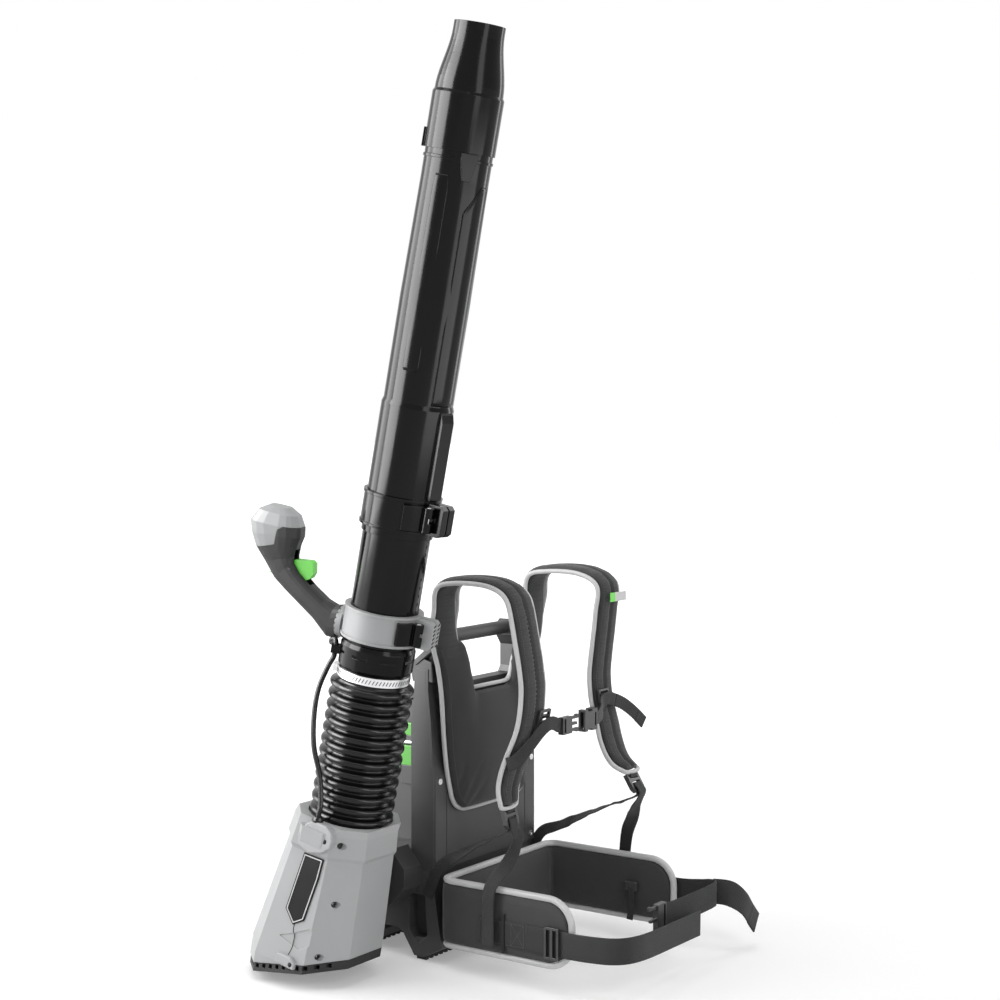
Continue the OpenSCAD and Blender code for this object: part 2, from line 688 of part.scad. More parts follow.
// Webbing comes up behind the lock, turns through its middle slot and hangs down in front
function lock_turn(o, a) = [for (q = [[0, 4.9, -19], [0, 4.9, -6], [0, 4.2, -1.8], [0, 0, -0.6],
  [0, -4.2, -1.8], [0, -4.9, -6], [0, -4.9, -19]]) leaned(o, a, q)];
lean_right = -14;
lean_left = -32;

module strap_webbing_right() {
  on_pack() color(web_black) {
    lock_loop(lock_right, lean_right, 18.6, 16.6);
    webbing(concat([[-131.9, 16, 99], [-132.5, 6, 119], [-133.4, -12, 149], [-121, -66, 184]],
      lock_turn(lock_right, lean_right),
      [[-119, -140, 203], [-134, -133, 172], [-153, -122, 148], [-160.6, -117, 130], [-161, -116, 95], [-161, -116, 53]]),
      concat([[0, 0.62, 0.78], [0, 0.62, 0.78], [0.1, 0.66, 0.78], [1, 0.3, 0.3]], [for (k = [0:6]) [1, 0, 0]],
      [[1, 0.2, 0], [0.8, 0.8, 0], [0.3, 1, 0], [0, 1, 0], [0, 1, 0], [0, 1, 0]]));
  }
}
module strap_webbing_left() {
  on_pack() color(web_black) {
    lock_loop(lock_left, lean_left, 15.2, 17.9);
    webbing(concat([[131.9, 16, 99], [132.6, 6, 119], [136, -12, 150], [139, -46, 165], [131, -120, 200]],
      lock_turn(lock_left, lean_left),
      [[128, -190, 214], [148, -172, 190], [160.5, -155, 160], [161, -150, 110], [161, -150, 66]]),
      concat([[0, 0.66, 0.75], [0, 0.66, 0.75], [0.4, 0.7, 0.7], [0.8, 0.5, 0.5], [1, 0.3, 0.2]],
      [for (k = [0:6]) [1, 0, 0]],
      [[1, 0.3, 0], [0.6, 1, 0], [0.1, 1, 0], [0, 1, 0], [0, 1, 0]]));
  }
}

male_x = -56;
female_x = 6;
buckle_y = -180;
buckle_z = 365;
module chest_webbing_right() {
  on_pack() color(web_black) webbing([
    [-151.4, -143, 318], [-148, -156.5, 324], [-132, -167.5, 343], [-114, -176.4, 364], [-99, -180.2, 373],
    [-86, -180.8, 372], [-77, -180.4, 368], [male_x - 14, buckle_y, buckle_z + 1.6]],
    [[0, 0.3, 1], [-0.3, 0.3, 1], [-0.6, 0, 1], [-0.5, 0, 1], [-0.1, 0, 1], [0.1, 0, 1], [0.1, 0, 1], [0, 0, 1]]);
}
module chest_webbing_left() {
  on_pack() color(web_black) {
    webbing([[female_x + 17.8, buckle_y, buckle_z], [36, -179, 364], [66, -167, 367], [90, -152.8, 377],
      [110, -151.2, 381], [128, -152, 376]],
      [[0, 0, 1], [0, 0, 1], [-0.2, 0, 1], [-0.3, 0, 1], [0, 0, 1], [0.3, 0, 1]]);
    webbing([[129, -152.2, 376], [150, -155, 367], [172, -160, 352], [194, -165, 333]],
      [[0.3, 0, 1], [0.4, 0, 1], [0.5, 0, 1], [0.6, 0, 1]]);
  }
}

// Side-release buckle along +X: prongs point to +X
module buckle_male(w) {
  translate([-12, -4.5, -w / 2 - 2.5]) difference() {
    cube([24, 9, w + 5]);
    translate([3, -1, 2.5]) cube([5, 11, w]);
  }
  for (s = [-1, 0, 1]) translate([12 - eps, -2.2, s * (w / 2 - 1) - 1.9]) cube([s == 0 ? 17 : 21, 4.4, 3.8]);
  for (s = [-1, 1]) translate([27, -2.2, s * (w / 2 + 0.4) - 2.4]) cube([6, 4.4, 4.8]);
}
module buckle_female(w) {
  translate([-17, -6, -w / 2 - 6]) difference() {
    cube([34, 12, w + 12]);
    translate([-1, 3, 3]) cube([24, 6, w + 6]);
    translate([27, -1, 6]) cube([4, 14, w]);
    for (z = [-1, w + 9]) translate([8, -1, z]) cube([12, 14, 4.2]);
  }
}
module chest_buckle_male() {
  on_pack() color(rubber_black) translate([male_x, buckle_y, buckle_z]) buckle_male(web_w);
}
module chest_buckle_female() {
  on_pack() color(rubber_black) translate([female_x, buckle_y, buckle_z]) buckle_female(web_w);
}

waist_slider_y = -222;
module waist_slider() {
  on_pack() color(rubber_black) translate([-belt_w / 2 - 5.6, waist_slider_y, 73]) rotate([0, 90, 90])
    slider_body(waist_web_w, 24);
}
module waist_webbing_right() {
  up = [0, 0, 1];
  on_pack() color(web_black) webbing([[-belt_w / 2 - 2.4, -176, 73], [-belt_w / 2 - 2.4, -252, 73],
    [-148, -288, 73], [-140, -312, 73], [-124, -328, 73], [-98, -334, 72], [-60, -334, 70], [10, -332, 68],
    [80, -330, 66]], up, waist_web_w);
}
waist_male = [8, -303, 86];
module waist_webbing_left() {
  on_pack() color(web_black) {
    webbing([[belt_w / 2 + 2.5, -176, 88], [belt_w / 2 + 2.5, -254, 88], [158, -288, 90], [160, -304, 92],
      [154, -316, 93], [140, -320, 93], [96, -316, 90], [48, -308, 86.4], [waist_male[0] + 12.5, waist_male[1], 86]],
      [0, 0, 1], waist_web_w);
    webbing([[163, -306, 92], [172, -330, 90], [188, -346, 74], [203, -352, 52], [212, -355, 40]],
      [[0.1, 0, 1], [0.3, 0.1, 1], [0.7, 0.2, 0.8], [0.8, 0.2, 0.6], [0.8, 0.2, 0.6]], waist_web_w);
  }
}
module waist_buckle_male() {
  on_pack() color(rubber_black) translate(waist_male) rotate([0, 0, 180]) buckle_male(waist_web_w);
}

// ======================= fan unit =======================

// Sections of the housing: [u, outer side, inner side, front, back, corner cut]
housing = [
  [-165, foot_out, foot_in, foot_front, foot_back, 46],
  [-100, foot_out, foot_in, foot_front, foot_back, 46],
  [66, 78, 64, 67, 72, 36], [72, 81, 67, 70, 75, 38], [102, 79, 67, 67, 70, 38],
  [112, 66, 64, 64, 66, 27]];
intake_slope = 0.33;        // rise of the intake plane per length towards the front
shell_foot_u = -98;         // where the shells end, on the tube axis
intake_u = -112;            // where the intake rim ends, on the tube axis
intake_top_u = -58;         // highest point that the intake rim can reach

function eight(u, xo, xi, yf, yb, c) = [
  [-xo, -yf + c, u], [-xo + c, -yf, u], [xi - c, -yf, u], [xi, -yf + c, u],
  [xi, yb - c, u], [xi - c, yb, u], [-xo + c, yb, u], [-xo, yb - c, u]];
// Stack of flat-sided eight-cornered rings
module housing_stack(rows, d) {
  rings = [for (h = rows) eight(h[0], h[1] - d, h[2] - d, h[3] - d, h[4] - d, h[5] - 0.586 * d)];
  m = len(rings);
  sides = [for (j = [0:m - 2], i = [0:7])
    let (a = j * 8 + i, b = j * 8 + (i + 1) % 8) [a, a + 8, b + 8, b]];
  ends = [[0, 1, 2, 3, 4, 5, 6, 7], [for (i = [7:-1:0]) (m - 1) * 8 + i]];
  polyhedron([for (r = rings) each r], concat(sides, ends), convexity = 6);
}
// The hollow in the shells, open at the foot
module housing_hollow() {
  housing_stack(concat([for (h = housing) if (h[0] < 80) h], [[99, 79, 67, 67, 70, 38]]), shell_wall);
}
// The straight foot of the housing, drawn in by d
module foot_form(d) {
  translate([0, 0, -165]) linear_extrude(165 + intake_top_u) polygon([for (q =
    eight(0, foot_out - d, foot_in - d, foot_front - d, foot_back - d, 46 - 0.586 * d)) [q[0], q[1]]]);
}
// Everything below the intake plane that crosses the tube axis at height u
module below_plane(u) {
  translate([0, 0, u]) rotate([-atan(intake_slope), 0, 0])
    translate([-150, -250, -200]) cube([300, 500, 200]);
}

// Housing screws: [across, height, depth of the seat under the head]
screws = [[-66.5, 4, -44], [-80, -74, -40], [58, -76, -37], [-66.5, 90, -38]];

module fan_shell() {
  difference() {
    union() {
      difference() {
        housing_stack(housing, 0);
        difference() {
          housing_hollow();
          for (s = screws) translate([s[0], -110, s[1]]) rotate([-90, 0, 0]) cylinder(r = 6.6, h = 220);
          translate([60.5, 0, 0]) rotate([0, 90, 0]) cylinder(r = spindle_r + bush_wall + 5, h = 12);
        }
      }
      translate([60.5, 0, 0]) rotate([0, 90, 0]) cylinder(r = spindle_r + bush_wall + 5, h = 12);
      // Boss for the cable gland
      translate([-87, -30, 82]) linear_extrude(23)
        polygon([[0, 8], [6, 0], [18, 0], [18, 55], [6, 55], [0, 47]]);
    }
    below_plane(shell_foot_u);
    translate([0, 0, 104]) cylinder(r = hose_crest_r + 0.8, h = 20, $fn = 96);
    translate([0, 0, 90]) cylinder(r = spigot_r + 0.3, h = 20, $fn = 96);
    translate([-75, 0, 96]) cylinder(r = 7, h = 18);
    translate([50, 0, 0]) rotate([0, 90, 0]) cylinder(r = spindle_r + bush_wall, h = 30);
    for (s = screws) translate([s[0], -120, s[1]]) rotate([-90, 0, 0]) {
      cylinder(r = 5, h = 120 + s[2]);
      cylinder(r = 2.02, h = 120 + 12);
    }
    // Shallow six-cornered field low on the outer side
    translate([-78, 0, 66]) rotate([0, 6.53, 0]) translate([-2, 0, 0])
      across(-6, 3.2) polygon([[22, -129], [-4, -116], [-26, -103], [-53, -108], [-36, -124], [-17, -137]]);
  }
}
module fan_shell_front() {
  on_blower() color(shell_grey) intersection() {
    fan_shell();
    translate([-150, -200, -200]) cube([300, 200, 400]);
  }
}
module fan_shell_rear() {
  on_blower() color(shell_grey) intersection() {
    fan_shell();
    translate([-150, 0, -200]) cube([300, 200, 400]);
  }
}

module shell_screws() {
  on_blower() color(steel) for (s = screws) translate([s[0], s[2], s[1]]) rotate([-90, 0, 0])
    difference() {
      union() {
        translate([0, 0, -3]) cylinder(r = 4, h = 3);
        cylinder(r = 2, h = -s[2] + 11);
      }
      translate([0, 0, -3.5]) cylinder(r = 1.8, h = 2.2, $fn = 6);
    }
}

module intake_grille() {
  on_blower() color(rubber_black) difference() {
    union() {
      difference() {
        foot_form(1.5);
        foot_form(6);
      }
      intersection() {
        foot_form(3);
        difference() {
          translate([0, 0, 6]) below_plane(intake_u);
          for (y = [-66 : 11 : 103]) translate([-61, y, -170]) {
            cube([58, 7.6, 110]);
            translate([64, 0, 0]) cube([58, 7.6, 110]);
          }
        }
      }
    }
    below_plane(intake_u);
    // Open above the shell's lower edge
    translate([0, 0, shell_foot_u - 0.1]) rotate([-atan(intake_slope), 0, 0])
      translate([-150, -250, 0]) cube([300, 500, 200]);
    // Air slots along both sides
    for (y = [-60 : 12 : 84]) translate([-150, y, -intake_slope * y + intake_u + 4.5])
      cube([300, 6, 6.5]);
  }
}

duct_r = rotor_r + 2;
duct_out = duct_r + 3;
module fan_duct() {
  on_blower() color(frame_black) {
    rotate_extrude($fn = 96) polygon([
      [duct_r + 6, -62], [duct_r, -50], [duct_r, 82], [spigot_r - 2.6, 97], [spigot_r - 2.6, neck_u + 16],
      [spigot_r, neck_u + 16], [spigot_r, 97], [duct_out, 84], [duct_out, -52], [duct_r + 8, -62]]);
    difference() {
      translate([0, 0, 12]) cylinder(r = motor_r + 2.6, h = 54);
      translate([0, 0, 11]) cylinder(r = motor_r, h = 53);
      translate([0, 0, 11]) cylinder(r = motor_r - 5, h = 60);
    }
    for (k = [0:stator_vanes - 1]) rotate([0, 0, k * 360 / stator_vanes])
      translate([motor_r + 1, 0, 16]) rotate([14, 0, 0]) translate([0, -1, 0])
        cube([duct_r - motor_r, 2, 42]);
  }
}

module motor() {
  on_blower() color(steel) difference() {
    union() {
      translate([0, 0, 64 - motor_len]) cylinder(r = motor_r, h = motor_len - 1);
      translate([0, 0, 60 - motor_len]) cylinder(r = 9, h = 6);
    }
    translate([0, 0, 50 - motor_len]) cylinder(r = shaft_r + run_gap, h = motor_len + 10);
  }
}

module fan_rotor() {
  on_blower() {
    color(frame_black) difference() {
      translate([0, 0, -40]) cylinder(r = 28, h = 31);
      translate([0, 0, -36]) cylinder(r = 25, h = 40);
    }
    color(frame_black) intersection() {
      translate([0, 0, -12]) sphere(r = 39.6);
      translate([0, 0, -60]) cylinder(r = 28, h = 20 + eps);
    }
    color(frame_black) translate([0, 0, -36]) cylinder(r = 9, h = 34);
    color(steel) translate([0, 0, -30]) cylinder(r = shaft_r, h = 88);
    color(frame_black) intersection() {
      for (k = [0:rotor_blades - 1]) rotate([0, 0, k * 360 / rotor_blades])
        translate([26, 0, -25]) rotate([48, 0, 0]) translate([0, -1, -18]) cube([40, 2, 36]);
      translate([0, 0, -39]) difference() {
        cylinder(r = rotor_r, h = 29);
        translate([0, 0, -1]) cylinder(r = 26.5, h = 31);
      }
    }
  }
}

module pivot_bush() {
  on_blower() color(frame_black) translate([62, 0, 0]) rotate([0, 90, 0]) difference() {
    union() {
      cylinder(r = spindle_r + bush_wall, h = 15.7);
      translate([0, 0, 12.2]) cylinder(r = spindle_r + bush_wall + 4, h = 3.5);
    }
    translate([0, 0, -1]) cylinder(r = spindle_r + run_gap, h = 18);
  }
}

cable_r = 3.75;
module cable_gland() {
  on_blower() color(rubber_black) translate([-75, 0, 97]) difference() {
    union() {
      cylinder(r = 6.95, h = 18);
      translate([0, 0, 17.4]) cylinder(r = 8.6, h = 2.4);
      translate([0, 0, 19.7]) cylinder(r1 = 7.4, r2 = 5.6, h = 5);
    }
    translate([0, 0, -1]) cylinder(r = cable_r + 0.3, h = 27);
  }
}

module badge_plate() {
  on_blower() color(rubber_black) translate([-78, 0, 66]) rotate([0, 6.53, 0])
    across(-1.7, -0.02) polygon([[11, -1.5], [-25, 0], [-24, -30], [-15.5, -94], [2, -106], [21, -88]]);
}

// ======================= hose and its ends =======================

module hose() {
  outline = [for (k = [0:hose_ribs - 1]) each [
    [hose_root_r, neck_u + (k + 0.12) * hose_pitch],
    [hose_crest_r, neck_u + (k + 0.36) * hose_pitch],
    [hose_crest_r, neck_u + (k + 0.64) * hose_pitch],
    [hose_root_r, neck_u + (k + 0.88) * hose_pitch]]];
  on_blower() color(rubber_black) rotate_extrude($fn = 72) polygon(concat(
    [[hose_bore_r, neck_u], [hose_root_r, neck_u]], outline,
    [[hose_root_r, hose_top_u + hose_cuff_len], [hose_bore_r, hose_top_u + hose_cuff_len]]));
}

module hose_clamp() {
  u = hose_top_u + 3;
  on_blower() color(steel) {
    translate([0, 0, u]) tube(hose_root_r + 1.3, hose_root_r + 0.3, hose_clamp_w);
    // Screw housing of the worm drive, with its slotted screw
    rotate([0, 0, 118]) {
      translate([hose_root_r + 1.1, -8, u + 0.6]) cube([6.5, 16, hose_clamp_w - 1.2]);
      translate([hose_root_r + 4.6, -15, u + hose_clamp_w / 2]) rotate([-90, 0, 0]) difference() {
        cylinder(r = 3.6, h = 8);
        translate([-0.7, -4, -1]) cube([1.4, 8, 2.6]);
      }
    }
  }
}

clip_turn = 125;
clip_r = 60.2;
clip_u = 346;
module hose_collar() {
  on_blower() color(tube_black) {
    difference() {
      rotate_extrude($fn = 96) polygon([
        [spigot_r - 2.6, hose_top_u - 16], [spigot_r, hose_top_u - 16], [spigot_r, collar_u - 0.5],
        [collar_od / 2 - 1, collar_u], [collar_od / 2, collar_u + 1.5], [collar_od / 2, collar_top_u - 6],
        [collar_od / 2 - 2.5, collar_top_u], [inner_r + 0.02, collar_top_u], [inner_r + 0.02, inner_tube_u],
        [spigot_r - 2.6, inner_tube_u - 1]]);
      for (k = [0:7]) rotate([0, 0, k * 45 + 10])
        translate([collar_od / 2 - 2, -12, collar_u + 17.5]) cube([5, 24, 4]);
    }
    // Clip for the throttle cable
    rotate([0, 0, clip_turn]) difference() {
      translate([collar_od / 2 - 1, -7, clip_u]) cube([clip_r - collar_od / 2 + 6.8, 14, 12]);
      translate([clip_r, 0, collar_u]) cylinder(r = cable_r + 0.4, h = 40);
      // Flared mouth where the cable bends away
      translate([clip_r, 0, clip_u + 8]) cylinder(r1 = cable_r + 0.3, r2 = cable_r + 1.5, h = 5.1);
    }
  }
}

// ======================= tubes and nozzle =======================

module inner_tube() {
  on_blower() color(tube_black) difference() {
    translate([0, 0, inner_tube_u]) tube(inner_r, bore_r, inner_tube_len);
    for (k = [0:11]) rotate([0, 0, -78]) translate([inner_r - 0.8, 0, handle_clamp_top_u + 4 + k * 12])
      rotate([0, 90, 0]) cylinder(r = 2.4, h = 4);
  }
}

module outer_tube() {
  on_blower() color(tube_black) {
    rotate_extrude($fn = 96) polygon([
      [sleeve_in_r, sleeve_u], [sleeve_r, sleeve_u], [sleeve_r, step_u], [upper_r, step_u + step_h],
      [upper_r, step_u + 150], [upper_top_r, nozzle_u - 39], [upper_top_r, nozzle_u + 70],
      [upper_top_r - tube_wall, nozzle_u + 70], [upper_top_r - tube_wall, nozzle_u - 39],
      [upper_r - tube_wall, step_u + 150], [upper_r - tube_wall, step_u + 4], [sleeve_in_r, step_u - 4]]);
    difference() {
      across(-rail_w / 2, rail_w / 2) polygon([
        [-sleeve_r + 1.6, tube_clamp_top_u + 1], [-sleeve_r - rail_h, tube_clamp_top_u + 1],
        [-sleeve_r - rail_h, step_u - 14], [-sleeve_r - rail_h + 3, step_u - 3], [-sleeve_r + 1.6, step_u]]);
      translate([0, 0, step_u - 40]) cylinder(r = sleeve_in_r + 0.5, h = 60);
    }
    // Bayonet wedge under the nozzle
    rotate([0, 0, -125]) translate([upper_top_r - 1.2, 0, 0]) across(0, 3.2)
      polygon([[-13, nozzle_u - 1], [13, nozzle_u - 1], [6, nozzle_u - 38], [-6, nozzle_u - 38]]);
    translate([0, 0, nozzle_u - 12]) tube(upper_top_r + 1.5, upper_top_r - 1, 4);
  }
}

// Centre line radii of the nozzle's drawn-in part
function nozzle_r(g) = collar_out_r - 2.2 + (mouth_r - collar_out_r + 2.2) * smooth(g);
module nozzle() {
  steps = 10;
  land = mouth_u - mouth_land;
  outer = [for (k = [0:steps]) [nozzle_r(k / steps), nozzle_neck_u + k / steps * (nozzle_len - mouth_land)]];
  on_blower() color(tube_black) {
    rotate_extrude($fn = 96) polygon(concat(
      [[collar_in_r, nozzle_u], [collar_out_r, nozzle_u], [collar_out_r, nozzle_neck_u - 4]], outer,
      [[mouth_r, mouth_u], [mouth_bore_r, mouth_u]],
      [for (k = [steps:-1:0]) outer[k] - [tube_wall, 0]], [[collar_in_r, nozzle_neck_u - 5]]));
    rotate([0, 0, 125]) translate([collar_out_r - 1, -7, nozzle_u]) cube([4, 14, 26]);
  }
}

// ======================= clamps =======================

pin_r = 3;
pin_xy = [-21, -64];

// Split band with two ears towards -Y and a bolt hole across them
module clamp_band(r_in, r_out, h, rim) {
  difference() {
    union() {
      tube(r_out, r_in, h);
      tube(r_out + rim, r_in, 4);
      translate([0, 0, h - 4]) tube(r_out + rim, r_in, 4);
      for (s = [0, 1]) mirror([s, 0, 0]) across(1.5, 1.5 + ear_t) polygon([
        [-r_in - 0.6, 2], [-ear_reach + 5, 2], [-ear_reach, 7], [-ear_reach, h - 7],
        [-ear_reach + 5, h - 2], [-r_in - 0.6, h - 2]]);
    }
    translate([0, 0, -1]) cylinder(r = r_in, h = h + 2, $fn = 96);
    translate([-1.5, -ear_reach - 1, -1]) cube([3, ear_reach - r_in + 6, h + 2]);
    translate([-30, pin_xy[1], h / 2]) rotate([0, 90, 0]) cylinder(r = 3.3, h = 60);
  }
}

// Tie bolt: a barrel in the lever, a rod through the ears and a nut on the far side
module clamp_bolt(h) {
  color(steel) {
    translate([pin_xy[0], pin_xy[1], 6]) cylinder(r = pin_r, h = h - 12);
    translate([pin_xy[0], pin_xy[1], h / 2]) rotate([0, 90, 0]) cylinder(r = 2.9, h = 41);
    translate([13.6, pin_xy[1], h / 2]) rotate([0, 90, 0]) cylinder(r = 6, h = 5, $fn = 6);
  }
}

// Cam lever lying round the band; r_lie is the radius it lies on
module clamp_lever(h, r_lie, from, to) {
  low = 6.4;
  color(tube_black) difference() {
    translate([0, 0, low]) linear_extrude(h - 2 * low) difference() {
      union() {
        intersection() {
          difference() {
            circle(r = r_lie + 6.5, $fn = 96);
            circle(r = r_lie, $fn = 96);
          }
          polygon([[0, 0], 90 * [cos(from), sin(from)], 90 * [cos(to), sin(to)]]);
        }
        translate(pin_xy) circle(r = 7.2);
      }
      translate(pin_xy) circle(r = pin_r + run_gap);
      circle(r = r_lie, $fn = 96);
    }
    translate([pin_xy[0], pin_xy[1], h / 2 - 3.6]) linear_extrude(7.2)
      polygon([[-3.8, 3.8], [20, 3.8], [20, -20], [-9, -20], [-3.8, -2]]);
  }
}

module tube_clamp() {
  on_blower() color(tube_black) translate([0, 0, tube_clamp_u]) clamp_band(tube_clamp_in_r, tube_clamp_r, tube_clamp_h, 1.4);
}
module tube_clamp_bolt() {
  on_blower() translate([0, 0, tube_clamp_u]) clamp_bolt(tube_clamp_h);
}
module tube_clamp_lever() {
  on_blower() translate([0, 0, tube_clamp_u]) clamp_lever(tube_clamp_h, tube_clamp_r + 1.9, -140, -112);
}

joint_u = 388;              // height of the handle's tilt axis
boss_r = 23;
boss_y = 63.7;
module handle_clamp() {
  on_clamp() color(shell_grey) {
    difference() {
      union() {
        translate([0, 0, handle_clamp_u]) clamp_band(handle_clamp_in_r, handle_clamp_r, handle_clamp_h, 1.5);
        difference() {
          translate([0, collar_od / 2 + 0.5, joint_u]) rotate([-90, 0, 0])
            cylinder(r = boss_r, h = boss_y - collar_od / 2 - 0.5);
          for (k = [0:17]) translate([0, boss_y - 2, joint_u]) rotate([0, k * 20, 0])
            translate([boss_r - 4, 0, -1.2]) cube([6, 3, 2.4]);
        }
        translate([-18, handle_clamp_in_r + 1, handle_clamp_u]) cube([36, 8, 30]);
      }
      translate([0, 0, handle_clamp_u - 30]) cylinder(r = handle_clamp_in_r, h = 90, $fn = 96);
      translate([0, 40, joint_u]) rotate([-90, 0, 0]) cylinder(r = tilt_pin_r, h = 40);
    }
  }
}
module handle_clamp_bolt() {
  on_clamp() {
    translate([0, 0, handle_clamp_u]) clamp_bolt(handle_clamp_h);
    // Screw that the handle tilts on
    color(steel) translate([0, handle_clamp_in_r + 1.2, joint_u]) rotate([-90, 0, 0]) {
      cylinder(r = tilt_pin_r, h = 20);
      translate([0, 0, 17.3]) cylinder(r = 8, h = 3.6);
    }
  }
}
tilt_pin_r = 5;
module handle_clamp_lever() {
  on_clamp() translate([0, 0, handle_clamp_u]) clamp_lever(handle_clamp_h, handle_clamp_r + 2.2, -137, -112);
}

// ======================= control handle =======================

// [distance, height, direction, half thickness, half width] along the grip
grip_rings = [
  [boss_y + 0.35, 386, 0, 25, grip_half_w - 1], [76, 385, 8, 24, grip_half_w - 1],
  [97, 398, 27, 17, grip_half_w - 0.5], [122, 413, 33, 16.5, grip_half_w],
  [146, 429, 36, 17.5, grip_half_w], [160, 441, 45, 20, grip_half_w],
  [170, 456, 70, 24, grip_half_w + 1], [179, 474, 80, 33, head_half_w - 2.5],
  [182, 490, 86, 39, head_half_w - 0.5], [185, 505, 90, 40.5, head_half_w],
  [184, 522, 90, 31, head_half_w - 4.5], [184, 531, 90, 16, head_half_w - 13]];
// Rounded box section with 20 corners
function soft_box(hw, ht) = [for (k = [0:19])
  let (g = -k * 18 - 9, c = cos(g), s = sin(g))
  [hw * sign(c) * pow(abs(c), 0.66), ht * sign(s) * pow(abs(s), 0.66)]];
module grip_form(d) {
  n = len(grip_rings);
  loft([for (i = [0:n - 1])
    let (g = grip_rings[i], e = i == n - 1 ? d : 0)
    [for (p = soft_box(g[4] - d, g[3] - d))
      [p[0], g[0] - e * cos(g[2]) - p[1] * sin(g[2]), g[1] - e * sin(g[2]) + p[1] * cos(g[2])]]]);
}
cap_outline = [[250, 460], [197, 470], [176, 478], [174, 500], [166, 506], [130, 508], [130, 545], [250, 545]];
trigger_pin = [148.5, 446];
dial_place = [171, 437];

module grip_shell() {
  difference() {
    grip_form(0);
    difference() {
      grip_form(handle_wall);
      translate([-30, 50, 340]) cube([60, boss_y - 50 + 3.4, 100]);
      for (p = [[98, 393], [140, 418], [184, 468]]) across(-30, 30) translate(p) circle(r = 4);
    }
    across(-40, 40) polygon(cap_outline);
    across(-trigger_w / 2 - 0.7, trigger_w / 2 + 0.7)
      polygon([[157, 460], [152, 474], [104, 474], [110, 438], [118, 427], [130, 428], [141, 436], [148, 438], [157, 442]]);
    across(-4.4, 4.4) translate(dial_place) circle(r = cruise_r + 4.2);
    translate([0, 50, joint_u]) rotate([-90, 0, 0]) cylinder(r = tilt_pin_r + run_gap, h = 40);
  }
  across(-17, 17) translate(trigger_pin) circle(r = 2);
  across(-17, 17) translate(dial_place) circle(r = 2.5);
}
module handle_shell_right() {
  on_clamp() color(tube_black) intersection() {
    grip_shell();
    translate([-50, 0, 300]) cube([50, 300, 300]);
  }
}
module handle_shell_left() {
  on_clamp() color(tube_black) intersection() {
    grip_shell();
    translate([0, 0, 300]) cube([50, 300, 300]);
  }
}
module handle_cap() {
  on_clamp() color(shell_grey) intersection() {
    difference() {
      grip_form(0);
      grip_form(handle_wall);
    }
    across(-40, 40) offset(delta = -0.1) polygon(cap_outline);
  }
}
module trigger() {
  on_clamp() color(signal_green) across(-trigger_w / 2, trigger_w / 2) difference() {
    polygon([[153, 454], [146, 460], [122, 463], [117, 460], [115, 446], [118, 438], [124, 434],
      [129, 436], [140, 444], [146, 441.5], [152, 442.5], [154, 447]]);
    translate(trigger_pin) circle(r = 2 + run_gap);
  }
}
module cruise_dial() {
  on_clamp() color(signal_green) across(-4, 4) difference() {
    translate(dial_place) {
      circle(r = cruise_r);
      polygon([[2, -3], [12.5, -5.6], [13, -3.4], [2, 3]]);
    }
    translate(dial_place) circle(r = 2.5 + run_gap);
  }
}

// Route of the throttle cable: [distance, turn about the tube, height]
cable_route = [[75, 180, 106], [75, 180, 123.5], [71.6, 178, 142], [68, 166, 176], [73, 149, 212], [76, 138, 252],
  [75, 132, 290], [67, 127.5, 322], [61, clip_turn, 338],
  [clip_r, clip_turn, 345], [clip_r, clip_turn, 352], [clip_r, clip_turn, 359], [63.1, 121.8, 364.2],
  [68.8, 116.1, 360.3], [71, 109.3, 354.4], [71.5, 105.5, 355.6], [71.5, 105, 359.9]];
function turned(q) = [q[0] * cos(q[1]), q[0] * sin(q[1]), q[2]];
function curve(p, i, g) =
  let (a = p[max(i - 1, 0)], b = p[i], c = p[i + 1], d = p[min(i + 2, len(p) - 1)])
  0.5 * (2 * b + g * (c - a) + g * g * (2 * a - 5 * b + 4 * c - d) + g * g * g * (3 * b - a - 3 * c + d));
module throttle_cable() {
  p = [for (q = cable_route) turned(q)];
  path = [for (i = [0:len(p) - 2], k = [0:2]) curve(p, i, k / 3)];
  on_blower() color(rubber_black) sweep(concat(path, [p[len(p) - 1]]), [0.3, 1, 0.2], round_section(cable_r, 10));
}

base_frame();
foot_soles();
back_frame();
front_panel();
panel_screws();
carry_handle();
hub_mount();
pivot_spindle();
control_board();
battery_bay();
battery_contacts();
battery_pack();
battery_release();
back_pad();
shoulder_strap_right();
shoulder_strap_left();
strap_sliders();
ladder_lock_right();
ladder_lock_left();
strap_webbing_right();
strap_webbing_left();
chest_webbing_right();
chest_webbing_left();
chest_buckle_male();
chest_buckle_female();
belt_back_pad();
belt_wing_right();
belt_wing_left();
waist_webbing_right();
waist_webbing_left();
waist_slider();
waist_buckle_male();
fan_shell_front();
fan_shell_rear();
shell_screws();
intake_grille();
fan_duct();
motor();
fan_rotor();
pivot_bush();
cable_gland();
badge_plate();
hose();
hose_clamp();
hose_collar();
inner_tube();
outer_tube();
tube_clamp();
tube_clamp_bolt();
tube_clamp_lever();
nozzle();
handle_clamp();
handle_clamp_bolt();
handle_clamp_lever();
handle_shell_right();
handle_shell_left();
handle_cap();
trigger();
cruise_dial();
throttle_cable();
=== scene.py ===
import bpy, bmesh, math
import numpy as np
from mathutils import Matrix, Vector
from mathutils.kdtree import KDTree
from mathutils.bvhtree import BVHTree


